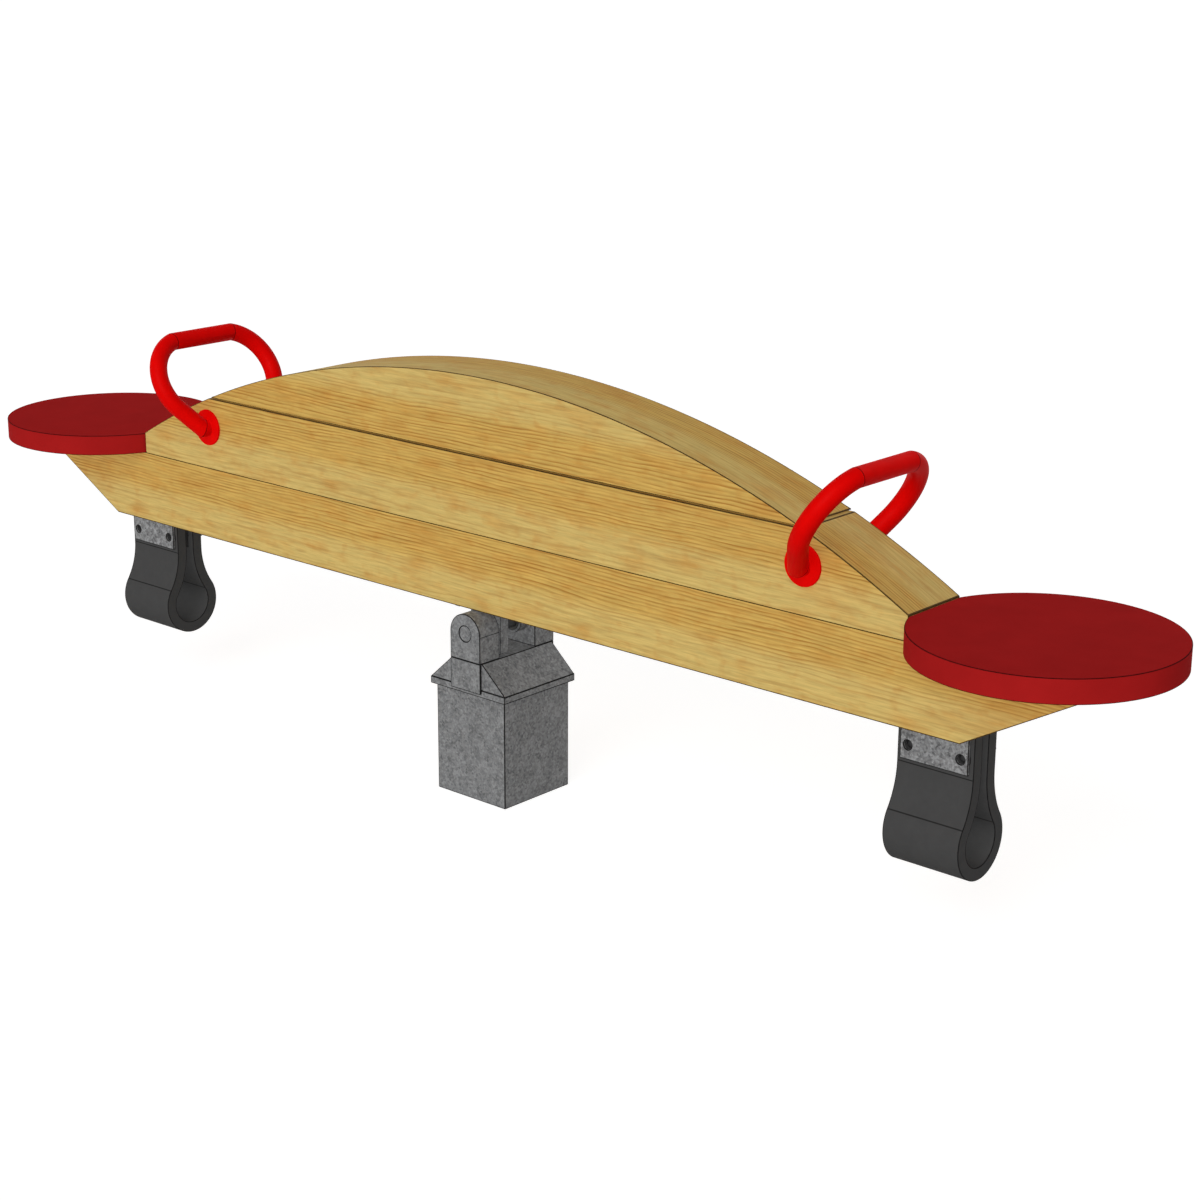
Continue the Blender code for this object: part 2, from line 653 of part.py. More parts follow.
def build_middle_timber(pivot):
    reach = arc_reach(MIDDLE_TOP)
    slope = spread(reach, MIDDLE_HALF_LENGTH, ARC_STEPS // 5)
    half = [(x, MIDDLE_BOTTOM, min(MIDDLE_TOP, arc_height(x))) for x in slope]
    stations = [(-x, low, high) for x, low, high in reversed(half)] + half
    timber = make_timber("middle_timber", stations, pivot)

    holes = bmesh.new()
    radius = hang_radius(TIE_SCREW_DIAMETER / 2 + HOLE_GAP, SCREW_SIDES)
    for x, tip in tie_screw_places():
        top = min(tip + HOLE_GAP, MIDDLE_TOP + GAP)
        add_cylinder(holes, "Z", (x, 0), radius, MIDDLE_BOTTOM - GAP, top, SCREW_SIDES)
    combine(timber, holes, "tie_holes")

    for side, sign in SIDES:
        rod = bmesh.new()
        hub = hang_radius(HUB_DIAMETER / 2 + GAP, SCREW_SIDES)
        bore = hang_radius(TIE_ROD_DIAMETER / 2 + GAP, SCREW_SIDES)
        floor = HALF_BEAM - HUB_DEPTH - GAP
        stations = ((-HALF_BEAM - GAP, hub), (-floor, hub), (-floor, bore),
                    (floor, bore), (floor, hub), (HALF_BEAM + GAP, hub))
        centre = (sign * HANDLE_X, HANDLE_HEIGHT)
        skin(rod, [[on_axis("Y", u, v, y) for u, v in circle(r, SCREW_SIDES, centre)] for y, r in stations])
        combine(timber, rod, f"{side}_handle_hole")


def build_upper_timber(pivot):
    tip_height = 0.0012
    reach = arc_reach(UPPER_BOTTOM + tip_height)
    stations = [(x, UPPER_BOTTOM, arc_height(x)) for x in spread(-reach, reach, ARC_STEPS)]
    timber = make_timber("upper_timber", stations, pivot)
    holes = bmesh.new()
    radius = hang_radius(TIE_SCREW_DIAMETER / 2 + HOLE_GAP, SCREW_SIDES)
    for x, tip in tie_screw_places():
        if tip > UPPER_BOTTOM:
            add_cylinder(holes, "Z", (x, 0), radius, UPPER_BOTTOM - GAP, tip + HOLE_GAP, SCREW_SIDES)
    combine(timber, holes, "tie_holes")


def build_tie_screws(pivot):
    """Long screws from below that hold the three timbers together."""
    bearing = BEAM_BOTTOM + TIE_COUNTERBORE - GAP
    head = TIE_SCREW_DIAMETER * 0.66
    for row, (x, tip) in zip(("inner", "middle", "outer"), tie_screws()):
        rings = hex_head_rings(TIE_SCREW_DIAMETER, tip - bearing, head, TIE_SCREW_DIAMETER * 1.6)
        places = [(-x, 0, bearing), (x, 0, bearing)]
        make_fasteners(f"{row}_tie_screw", rings, (0, 0, 1), places, pivot)


# Seats

def build_seats(pivot):
    """Round seats whose inner side is cut straight to butt the beam's end."""
    chord = asin(HALF_BEAM / SEAT_RADIUS)
    angles = spread(-pi + chord, pi - chord, SEAT_STEPS)
    for side, sign in SIDES:
        outline = [(sign * SEAT_RADIUS * cos(a), SEAT_RADIUS * sin(a)) for a in angles]
        centre = (sign * SEAT_CENTRE, 0, SEAT_BOTTOM)
        bm = bmesh.new()
        add_prism(bm, outline, "Z", 0, SEAT_THICKNESS)
        seat = make_object(f"{side}_seat", bm, "seat", centre, pivot)
        bevel_edges(seat, SEAT_EDGE)
        holes = bmesh.new()
        radius = hang_radius(SEAT_SCREW_DIAMETER / 2 + HOLE_GAP, SCREW_SIDES)
        tip = SEAT_BOTTOM + SEAT_SCREW_GRIP
        for (x, head), place_name in zip(seat_screws(), ("inner", "outer")):
            add_cylinder(holes, "Z", (sign * x, 0), radius, SEAT_BOTTOM - GAP, tip + HOLE_GAP, SCREW_SIDES)
            bearing = head - GAP
            rings = hex_head_rings(SEAT_SCREW_DIAMETER, tip - bearing, SEAT_SCREW_DIAMETER * 0.66,
                                   SEAT_SCREW_DIAMETER * 1.6)
            places = [(sign * x, 0, bearing)]
            make_fasteners(f"{side}_{place_name}_seat_screw", rings, (0, 0, 1), places, pivot)
        combine(seat, holes, "screw_holes")


# Handles

def handle_path():
    """Half the tube's centre line in its own plane: distance from the beam's
    centre plane, and distance up the tilted plane. It starts at the flange."""
    mitre = HANDLE_TUBE / 2 * tan(HANDLE_RISE_ANGLE / 2)
    start = HALF_BEAM + GAP + FLANGE_THICKNESS + GAP
    corner = start + HANDLE_STUB + mitre
    rise = (cos(HANDLE_RISE_ANGLE), sin(HANDLE_RISE_ANGLE))
    foot = (corner + HANDLE_STRAIGHT * rise[0], HANDLE_STRAIGHT * rise[1])
    centre = (foot[0] - HANDLE_BEND_RADIUS * rise[1], foot[1] + HANDLE_BEND_RADIUS * rise[0])
    path = [(start, 0), (corner, 0)]
    for turned in spread(0, HANDLE_BEND_ANGLE, BEND_STEPS):
        angle = HANDLE_RISE_ANGLE - pi / 2 + turned
        path.append((centre[0] + HANDLE_BEND_RADIUS * cos(angle),
                     centre[1] + HANDLE_BEND_RADIUS * sin(angle)))
    return path


def handle_points(sign):
    half = handle_path()
    whole = [(-y, s) for y, s in half] + [(y, s) for y, s in reversed(half)]
    return [Vector((sign * s * sin(HANDLE_TILT), y, s * cos(HANDLE_TILT))) for y, s in whole]


def mitred_rings(points, radius, sides):
    """Carry a round section along a path, cut at every corner in the mitre plane."""
    first = (points[1] - points[0]).normalized()
    across = Vector((1, 0, 0))
    up = first.cross(across)
    ring = [points[0] + radius * (cos(a) * across + sin(a) * up)
            for a in (2 * pi * (i + 0.5) / sides for i in range(sides))]
    rings = [ring]
    for i in range(1, len(points)):
        along = (points[i] - points[i - 1]).normalized()
        ahead = (points[i + 1] - points[i]).normalized() if i + 1 < len(points) else along
        normal = (along + ahead).normalized()
        ring = [p + along * ((points[i] - p).dot(normal) / along.dot(normal)) for p in ring]
        rings.append(ring)
    return rings


def build_handles(pivot):
    for side, sign in SIDES:
        points = handle_points(sign)
        at = (sign * HANDLE_X, 0, HANDLE_HEIGHT)
        bm = bmesh.new()
        skin(bm, mitred_rings(points, HANDLE_TUBE / 2, TUBE_SIDES))
        handle = make_object(f"{side}_handle", bm, "red_paint", at, pivot)

        bore = bmesh.new()
        reach = Vector((0, GAP, 0))
        longer = [points[0] + reach] + points[1:-1] + [points[-1] - reach]
        rings = mitred_rings(longer, HANDLE_TUBE / 2 - HANDLE_WALL, TUBE_BORE_SIDES)
        skin(bore, [[Vector(at) + p for p in ring] for ring in rings])
        combine(handle, bore, "bore")

        build_flanges(side, sign, pivot)
        build_tie_rod(side, sign, pivot)


def build_flanges(side, sign, pivot):
    """Turned flanges whose hubs sit in the timber and take the tie rod."""
    rim = FLANGE_DIAMETER / 2
    edge = FLANGE_THICKNESS * 0.35
    back = HALF_BEAM + GAP
    stations = ((HALF_BEAM - HUB_DEPTH, HUB_DIAMETER / 2), (back, HUB_DIAMETER / 2), (back, rim),
                (back + FLANGE_THICKNESS - edge, rim), (back + FLANGE_THICKNESS, rim - edge))
    for face, facing in FACES:
        bm = bmesh.new()
        skin(bm, [[on_axis("Y", x, z, facing * y) for x, z in circle(r, ROUND_SIDES)] for y, r in stations])
        at = (sign * HANDLE_X, 0, HANDLE_HEIGHT)
        flange = make_object(f"{side}_{face}_handle_flange", bm, "red_paint", at, pivot)
        hole = bmesh.new()
        radius = hang_radius(TIE_ROD_DIAMETER / 2 + GAP, SCREW_SIDES)
        low, high = sorted((facing * (HALF_BEAM - HUB_DEPTH - GAP), facing * (back + FLANGE_THICKNESS + GAP)))
        add_cylinder(hole, "Y", (sign * HANDLE_X, HANDLE_HEIGHT), radius, low, high, SCREW_SIDES)
        combine(flange, hole, "thread")


def build_tie_rod(side, sign, pivot):
    half = HALF_BEAM + FLANGE_THICKNESS * 0.6
    bm = bmesh.new()
    add_cylinder(bm, "Y", (0, 0), TIE_ROD_DIAMETER / 2, -half, half, SCREW_SIDES)
    at = (sign * HANDLE_X, 0, HANDLE_HEIGHT)
    make_object(f"{side}_handle_tie_rod", bm, "zinc", at, pivot)


# Dampers

def strap_half_path():
    """The middle of the strap from its top end down to the loop's lowest point,
    as (distance from the centre plane, height, outward normal angle)."""
    leg = STRAP_INNER + STRAP_THICKNESS / 2
    seam = LOOP_SEAM_ANGLE
    neck = PLATE_BOTTOM - NECK_DROP
    corner = neck - NECK_RADIUS * tan(seam / 2)
    tangent = corner - (LOOP_RADIUS * cos(seam) - leg) / tan(seam)
    loop = tangent - LOOP_RADIUS * sin(seam)
    path = [(leg, BEAM_BOTTOM - GAP, 0.0)]
    for turned in spread(0, seam, NECK_STEPS):
        path.append((leg + NECK_RADIUS * (1 - cos(turned)), neck - NECK_RADIUS * sin(turned), turned))
    for angle in spread(seam, -pi / 2, LOOP_STEPS):
        path.append((LOOP_RADIUS * cos(angle), loop + LOOP_RADIUS * sin(angle), angle))
    return path


def build_strap(side, sign, pivot):
    """A thick rubber strap doubled into a loop, with holes for the bolts and nuts."""
    faces = []
    for y, z, angle in strap_half_path():
        middle = Vector((y, z))
        outward = Vector((cos(angle), sin(angle))) * STRAP_THICKNESS / 2
        faces.append((middle + outward, middle - outward))
    mirror = [(Vector((-a.x, a.y)), Vector((-b.x, b.y))) for a, b in reversed(faces[:-1])]
    half_width = STRAP_WIDTH / 2
    rings = []
    for outer, inner in faces + mirror:
        rings.append([Vector((-half_width, outer.x, outer.y)), Vector((half_width, outer.x, outer.y)),
                      Vector((half_width, inner.x, inner.y)), Vector((-half_width, inner.x, inner.y))])
    bm = bmesh.new()
    skin(bm, rings)
    bmesh.ops.translate(bm, verts=bm.verts, vec=(0, 0, -PIN_HEIGHT))
    at = (sign * DAMPER_CENTRE, 0, PIN_HEIGHT)
    strap = make_object(f"{side}_damper_strap", bm, "rubber", at, pivot)
    holes = bmesh.new()
    radius = hang_radius(DAMPER_BOLT_DIAMETER / 2 + HOLE_GAP, SCREW_SIDES)
    pocket = NUT_FLATS / sqrt(3) + HOLE_GAP
    for centre in damper_bolt_places(sign):
        stations = ((-PLATE_BACK, pocket), (-STRAP_INNER - GAP, pocket),
                    (-STRAP_INNER - GAP, radius), (PLATE_BACK, radius))
        skin(holes, [[on_axis("Y", u, v, y) for u, v in circle(r, SCREW_SIDES, centre)] for y, r in stations])
    combine(strap, holes, "bolt_holes")


def damper_bolt_places(sign):
    for end in (-1, 1):
        yield sign * DAMPER_CENTRE + end * DAMPER_BOLT_X, DAMPER_BOLT_HEIGHT


def bolt_hole_cutter(sign, start, end):
    bm = bmesh.new()
    radius = hang_radius(DAMPER_BOLT_DIAMETER / 2 + HOLE_GAP, SCREW_SIDES)
    for centre in damper_bolt_places(sign):
        add_cylinder(bm, "Y", centre, radius, start, end, SCREW_SIDES)
    return bm


def build_damper_hanger(side, sign, pivot):
    """A base plate let into the beam, with a tongue down between the strap's legs."""
    tongue = TONGUE_THICKNESS / 2
    half_x = BASE_LENGTH / 2
    half_y = BASE_WIDTH / 2
    tip = BEAM_BOTTOM - TONGUE_DEPTH
    section = [(-half_y, BEAM_BOTTOM), (-tongue, BEAM_BOTTOM), (-tongue, tip), (tongue, tip),
               (tongue, BEAM_BOTTOM), (half_y, BEAM_BOTTOM), (half_y, BEAM_BOTTOM + BASE_THICKNESS),
               (-half_y, BEAM_BOTTOM + BASE_THICKNESS)]
    bm = bmesh.new()
    add_prism(bm, [(y, z - PIN_HEIGHT) for y, z in section], "X", -half_x, half_x)
    at = (sign * DAMPER_CENTRE, 0, PIN_HEIGHT)
    hanger = make_object(f"{side}_damper_hanger", bm, "black_steel", at, pivot)
    combine(hanger, bolt_hole_cutter(sign, -half_y, half_y), "bolt_holes")
    holes = bmesh.new()
    clear = HOLE_GAP * 2
    diameter = BASE_SCREW_DIAMETER
    for spot in base_screw_places(sign):
        stations = ((BEAM_BOTTOM - GAP, diameter * 1.9 + clear), (BEAM_BOTTOM + GAP, diameter * 1.9 + clear),
                    (BEAM_BOTTOM + GAP + diameter * 0.5, diameter + clear),
                    (BEAM_BOTTOM + BASE_THICKNESS + GAP, diameter + clear))
        rings = [[on_axis("Z", u, v, z) for u, v in circle(d / 2, SCREW_SIDES, spot, 0)] for z, d in stations]
        skin(holes, rings)
    combine(hanger, holes, "screw_holes")

    rings = countersunk_rings(BASE_SCREW_DIAMETER, BASE_SCREW_DEPTH - GAP, BASE_SCREW_DIAMETER * 0.65)
    places = [(x, y, BEAM_BOTTOM + GAP) for x, y in base_screw_places(sign)]
    make_fasteners(f"{side}_damper_hanger_screw", rings, (0, 0, 1), places, pivot)


def build_clamp(side, sign, pivot):
    """Clamp plates on both legs, with bolts from the rear into nuts that are
    welded behind the front plate."""
    half = PLATE_LENGTH / 2
    top = BEAM_BOTTOM - PLATE_TOP_GAP - PIN_HEIGHT
    bottom = PLATE_BOTTOM - PIN_HEIGHT
    for face, facing in FACES:
        low, high = sorted((facing * PLATE_BACK, facing * PLATE_FACE))
        bm = bmesh.new()
        add_prism(bm, rectangle(half, bottom, top), "Y", low, high)
        at = (sign * DAMPER_CENTRE, 0, PIN_HEIGHT)
        plate = make_object(f"{side}_{face}_damper_plate", bm, "galvanised", at, pivot)
        if face == "front":
            nuts = bmesh.new()
            for centre in damper_bolt_places(sign):
                outline = circle(NUT_FLATS / sqrt(3), 6, centre)
                add_prism(nuts, outline, "Y", high - GAP, high + NUT_HEIGHT)
            combine(plate, nuts, "weld_nuts", "UNION")
        combine(plate, bolt_hole_cutter(sign, low - GAP, high + NUT_HEIGHT + GAP), "bolt_holes")

    grip = 2 * PLATE_FACE + GAP - DAMPER_BOLT_RECESS
    head = DAMPER_BOLT_DIAMETER * 0.64
    rings = hex_head_rings(DAMPER_BOLT_DIAMETER, grip, head, NUT_FLATS)
    rings[-2:] = [round_ring(DAMPER_BOLT_DIAMETER, grip - DAMPER_BOLT_DIAMETER * 0.08),
                  round_ring(DAMPER_BOLT_DIAMETER * 0.84, grip)]
    places = [(x, PLATE_FACE + GAP, z) for x, z in damper_bolt_places(sign)]
    make_fasteners(f"{side}_damper_bolt", rings, (0, -1, 0), places, pivot)


def build_dampers(pivot):
    for side, sign in SIDES:
        build_damper_hanger(side, sign, pivot)
        build_strap(side, sign, pivot)
        build_clamp(side, sign, pivot)


def build_rocker():
    clear_scene()
    build_post_tube()
    build_post_cap()
    build_fork()
    build_pin()
    build_grub_screw()

    pivot = bpy.data.objects.new("rocker_pivot", None)
    pivot.location = (0, 0, PIN_HEIGHT)
    bpy.context.scene.collection.objects.link(pivot)
    build_hanger(pivot)
    build_bushes(pivot)
    build_hanger_screws(pivot)
    build_lower_timber(pivot)
    build_middle_timber(pivot)
    build_upper_timber(pivot)
    build_tie_screws(pivot)
    build_seats(pivot)
    build_handles(pivot)
    build_dampers(pivot)


build_rocker()
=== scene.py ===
from math import acos, asin, cos, pi, radians, sin, sqrt, tan

import bmesh
import bpy
from mathutils import Matrix, Vector


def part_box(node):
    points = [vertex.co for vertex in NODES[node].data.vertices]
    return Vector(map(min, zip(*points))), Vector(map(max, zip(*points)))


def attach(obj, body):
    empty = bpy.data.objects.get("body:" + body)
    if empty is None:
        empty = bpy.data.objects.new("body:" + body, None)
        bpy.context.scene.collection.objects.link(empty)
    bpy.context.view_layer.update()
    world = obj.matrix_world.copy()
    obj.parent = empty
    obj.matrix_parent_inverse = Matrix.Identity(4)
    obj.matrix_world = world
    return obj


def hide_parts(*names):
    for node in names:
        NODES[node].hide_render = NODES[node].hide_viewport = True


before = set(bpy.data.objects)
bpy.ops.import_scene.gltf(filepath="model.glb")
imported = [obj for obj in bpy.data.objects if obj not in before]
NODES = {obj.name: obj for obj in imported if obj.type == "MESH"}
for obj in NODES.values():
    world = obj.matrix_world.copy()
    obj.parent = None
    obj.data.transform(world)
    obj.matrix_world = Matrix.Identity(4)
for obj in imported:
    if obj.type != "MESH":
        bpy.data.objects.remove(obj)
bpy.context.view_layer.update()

SCENE = bpy.context.scene

# Every size is in metres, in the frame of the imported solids.

SIDES = {"left": -1, "right": 1}
FACES = {"front": -1, "rear": 1}
FACE_GAP = 0.0003               # between pieces that lie face to face
CUT_MARGIN = 0.01               # a cut starts this far outside what it goes into
SAME_POINT = 1e-6
SHARP_ANGLE = 32                # degrees; faces that meet at more have a sharp edge between them
TURNED_SIDES = 64               # of the round bodies and bores that show large
HOLE_SIDES = 48
SCREW_BORE_SIDES = 32
HEXAGON = 6

# Beam
BEAM_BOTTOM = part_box("lower_timber")[0].z
LOWER_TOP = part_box("lower_timber")[1].z
HALF_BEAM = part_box("lower_timber")[1].y
NOSE_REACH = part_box("lower_timber")[1].x
NOSE_DEPTH = 0.004
UNDERSIDE_REACH = 0.726
MIDDLE_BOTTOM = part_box("middle_timber")[0].z
MIDDLE_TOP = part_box("middle_timber")[1].z
MIDDLE_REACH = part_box("middle_timber")[1].x
UPPER_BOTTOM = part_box("upper_timber")[0].z
UPPER_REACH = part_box("upper_timber")[1].x
OPEN_JOINT = 0.0004             # more than the solids leave open under the upper timber
ARC_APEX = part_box("upper_timber")[1].z
SEAT_STEP = 0.0013              # the middle timber's ends above the seats
ARC_RISE = ARC_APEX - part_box("left_seat")[1].z - SEAT_STEP
ARC_RADIUS = (MIDDLE_REACH ** 2 + ARC_RISE ** 2) / (2 * ARC_RISE)
ARC_CENTRE = ARC_APEX - ARC_RADIUS
ARC_STEPS = 120
TIMBER_LINE = 0.0008            # oiled-in dirt along the timber's edges
TOP_LINE_SHARE = 2              # it spreads further over the top
# the open joint's wider dark band is painted shade of the gap under the upper timber
JOINT_LINE = 0.0013
TIGHT_JOINT_LINE = 0.0005
DRIP_LINE = 0.0013              # along the beam's lowest edges
TIMBER_ARRIS = 0.0004
TIE_COUNTERBORE_RADIUS = 0.012
TIE_COUNTERBORE_DEPTH = 0.020
SEAT_COUNTERBORE_RADIUS = 0.009
SEAT_SCREW_HEAD = 0.004         # its height, which the counterbore takes in
LOW_ANGLE = 12                  # degrees; the arch meets the flat joints at little more

# Seats
SEAT_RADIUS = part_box("left_seat")[1].y
SEAT_LINE = 0.0009
SEAT_ARRIS = 0.0006
SEAT_STEPS = 160

# Handles
TUBE_RADIUS = 0.012
TUBE_SIDES = 40
HANDLE_TILT = radians(31.4)
HANDLE_RISE_ANGLE = radians(53.3)
HANDLE_STRAIGHT = 0.042
HANDLE_BEND_RADIUS = 0.0617
HANDLE_BEND_ANGLE = radians(111.9)
HANDLE_BEND_STEPS = 36
HANDLE_STUB = 0.0008
JOINT_HALF_WIDTH = 0.0006       # of the line left where two cuts of the tube meet
JOINT_SINK = 0.0004
FLANGE_RADIUS = 0.025
FLANGE_THICKNESS = 0.003
FLANGE_EDGE = 0.001
FLANGE_EDGE_STEPS = 5
FLANGE_BACK_EDGE = 0.0003
FILLET = 0.0008
FILLET_STEPS = 4

# Post, cap and fork
POST_WIDTH = 0.120
POST_WALL = 0.005
POST_BORE_SHARE = 1 - 2 * POST_WALL / POST_WIDTH
POST_CORNER = 0.0008
POST_LINE = 0.0012
LIP_HEIGHT = 0.0093             # of the cap's upright rim
GABLE_INSET = 0.0006            # from the rim to the upright front and rear of the cap
ROOF_ANGLE = 20                 # degrees; under the angle between the cap's top and its slopes
EAR_RADIUS = 0.026
EAR_STEPS = 48
BORE_RADIUS = 0.0104
METAL_LINE = 0.0010             # grime along the edges of the galvanised parts
METAL_ARRIS = 0.0004
NARROW_REGION = 1.6             # a face is dark right across where its bands nearly meet
TANGENT_LINE = 0.0008           # where the straight side of an ear or lug goes over into the round
PIN_HEIGHT = (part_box("pivot_pin")[0].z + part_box("pivot_pin")[1].z) / 2
PIN_CHAMFER = 0.0004
HANGER_PLATE = 0.006
HANGER_HOLE_RADIUS = 0.0047
LUG_THICKNESS = 0.015
LUG_BORE_RADIUS = 0.0134
LUG_DROP = 0.0325               # the front lug's lower end below the pin
LUG_CORNER = 0.004
LUG_CORNER_STEPS = 8
REAR_LUG_RADIUS = 0.0175
GRUB_RADIUS = 0.0046

# Dampers
STRAP_THICKNESS = 0.0152
STRAP_INNER = 0.0063            # half the tongue between the legs, with its gap
LOOP_RADIUS = 0.0372            # to the middle of the strap
NECK_RADIUS = 0.1056
NECK_DROP = 0.0050              # from the plate's lower edge to where the strap starts to curve
NECK_STEPS = 12
LOOP_STEPS = 36
LEG_CENTRE = STRAP_INNER + STRAP_THICKNESS / 2
LOOP_SEAM_ANGLE = acos((NECK_RADIUS + LEG_CENTRE) / (NECK_RADIUS + LOOP_RADIUS))
PLATE_THICKNESS = 0.0035
RUBBER_LINE = 0.0009
RUBBER_ARRIS = 0.0005
PLATE_HOLE_RADIUS = 0.0056
NUT_RADIUS = 0.0098
NUT_POCKET_RADIUS = 0.0103
NUT_HEIGHT = 0.008
HOLE_REACH = 0.03               # from the middle plane, past both legs
SCREW_ARRIS = 0.0003
BOLT_ARRIS = 0.0004


# Finishes

# Matt surfaces send little of the white room back, so each has a low specular level.
WOOD_SURFACE = {"Roughness": 0.66, "IOR": 1.47, "Specular IOR Level": 0.08}
BOARD_SURFACE = {"Roughness": 0.8, "IOR": 1.54, "Specular IOR Level": 0.01}
PAINT_SURFACE = {"Roughness": 0.50, "IOR": 1.5, "Specular IOR Level": 0.02}
RUBBER_SURFACE = {"Roughness": 0.85, "IOR": 1.52, "Specular IOR Level": 0.04}
ZINC_SURFACE = {"Metallic": 0.20, "Roughness": 0.65}
GRIME_SURFACE = {"Roughness": 0.9, "Specular IOR Level": 0.02}
PLATED_SURFACE = {"Metallic": 0.6, "Roughness": 0.45}
NYLON_SURFACE = {"Roughness": 0.6, "IOR": 1.53}

# Sizes of the patterns, across one blotch, crystal or grain. The real grit, peel, pebbles and
# rubber grain are under 1 mm and wouldn't show, so each is drawn about twice as coarse.
RING_PITCH = 0.0044
SPANGLE = 0.0030
ZINC_CLOUD = 0.013
ZINC_GRIT = 0.0026
ZINC_CONTRAST = 0.42            # the lower, the further the tones lie apart
PAINT_CLOUD = 0.030
PAINT_PEEL = 0.0022
BOARD_CLOUD = 0.050
BOARD_PEBBLE = 0.0016
RUBBER_CLOUD = 0.012
RUBBER_GRAIN = 0.0018
SEAM_CORE = 0.0004              # half of a mould line's dark middle
SEAM_EDGE = 0.0010              # half of its whole width
GRIME_BLOTCH = 0.010
WORN_BLOTCH = 0.006
PLATING_BLOTCH = 0.004
GREASE_BLOTCH = 0.008

# Pine
HEART_BEHIND_SIDE = 0.014
HEART_UNDER_TOP = 0.010
HEART_SHARE = 0.20              # of a timber's height, from its lower or upper face to the heart
LATE_WOOD_RELIEF = 0.00008

# Grease, and the painted shade on the bolts' threaded ends, spread over these distances from the middle
# plane
GREASE_FULL = 0.040
GREASE_END = 0.045
BORE_SHADE_END = 0.004


def colour(hex_colour):
    """A colour written in sRGB, as the linear values that the shader takes."""
    channels = [int(hex_colour[i:i + 2], 16) / 255 for i in (0, 2, 4)]
    linear = [c / 12.92 if c <= 0.04045 else ((c + 0.055) / 1.055) ** 2.4 for c in channels]
    return (*linear, 1.0)


def add(tree, kind, inputs=None, **settings):
    """Adds a node, sets it, and gives each named input a value or another node's output."""
    node = tree.nodes.new(kind)
    for setting, value in settings.items():
        setattr(node, setting, value)
    for socket, value in (inputs or {}).items():
        if isinstance(value, bpy.types.NodeSocket):
            tree.links.new(value, node.inputs[socket])
        else:
            node.inputs[socket].default_value = value
    return node


def new_finish(name, **surface):
    """A material with one surface, and its tree, shader and object coordinates."""
    finish = bpy.data.materials.new(name)
    finish.use_nodes = True
    tree = finish.node_tree
    shader = tree.nodes["Principled BSDF"]
    for socket, value in surface.items():
        shader.inputs[socket].default_value = value
    place = add(tree, "ShaderNodeTexCoord")
    return finish, tree, shader, place


def grain_noise(tree, grain, lengths, detail, roughness=0.5):
    """Noise whose blotches measure the given lengths, in metres, along and across the grain."""
    scaled = add(tree, "ShaderNodeVectorMath", {0: grain, 1: [1 / length for length in lengths]},
                 operation="MULTIPLY")
    noise = add(tree, "ShaderNodeTexNoise", {"Vector": scaled.outputs[0], "Scale": 1.0,
                                             "Detail": detail, "Roughness": roughness})
    return noise.outputs["Fac"]


def grain_place(tree, place, heart_height, heart_across, shift):
    """Places measured from a timber's heart, which runs along it."""
    at = add(tree, "ShaderNodeSeparateXYZ", {0: place.outputs["Object"]})
    facing = add(tree, "ShaderNodeSeparateXYZ", {0: place.outputs["Normal"]})
    sideways = add(tree, "ShaderNodeMath", {0: facing.outputs[1]}, operation="ABSOLUTE")
    upwards = add(tree, "ShaderNodeMath", {0: facing.outputs[2]}, operation="ABSOLUTE")
    on_side = add(tree, "ShaderNodeMapRange", {0: sideways.outputs[0], 1: 0.66, 2: 0.74})
    on_top = add(tree, "ShaderNodeMapRange", {0: upwards.outputs[0], 1: 0.66, 2: 0.74})

    along = add(tree, "ShaderNodeMath", {0: at.outputs[0], 1: shift}, operation="ADD")
    across = add(tree, "ShaderNodeMath", {0: at.outputs[1], 1: heart_across}, operation="SUBTRACT")
    height = add(tree, "ShaderNodeMath", {0: at.outputs[2], 1: heart_height}, operation="SUBTRACT")
    across = add(tree, "ShaderNodeMix",
                 {0: on_side.outputs[0], 2: across.outputs[0], 3: HEART_BEHIND_SIDE})
    height = add(tree, "ShaderNodeMix",
                 {0: on_top.outputs[0], 2: height.outputs[0], 3: HEART_UNDER_TOP})
    grain = add(tree, "ShaderNodeCombineXYZ",
                {0: along.outputs[0], 1: across.outputs[0], 2: height.outputs[0]})
    return grain.outputs[0]


def late_wood(tree, grain, from_heart):
    """The growth rings' dark late wood, which ends sharply on its outer side. The rings
    wander, and ripple over the few centimetres beside a branch."""
    wander = grain_noise(tree, grain, (0.30, 0.045, 0.045), 2)
    ripple = grain_noise(tree, grain, (0.050, 0.012, 0.012), 1)
    bent = add(tree, "ShaderNodeMath", {0: wander, 1: 0.016, 2: from_heart}, operation="MULTIPLY_ADD")
    bent = add(tree, "ShaderNodeMath", {0: ripple, 1: 0.0032, 2: bent.outputs[0]},
               operation="MULTIPLY_ADD")
    ring = add(tree, "ShaderNodeMath", {0: bent.outputs[0], 1: 1 / RING_PITCH}, operation="MULTIPLY")
    ring = add(tree, "ShaderNodeMath", {0: ring.outputs[0]}, operation="FRACT")
    rising = add(tree, "ShaderNodeMapRange", {0: ring.outputs[0], 1: 0.30, 2: 0.80},
                 interpolation_type="SMOOTHSTEP")
    falling = add(tree, "ShaderNodeMapRange", {0: ring.outputs[0], 1: 0.86, 2: 1.0, 3: 1.0, 4: 0.0},
                  interpolation_type="SMOOTHSTEP")
    late = add(tree, "ShaderNodeMath", {0: rising.outputs[0], 1: falling.outputs[0]},
               operation="MULTIPLY")
    return late.outputs[0]


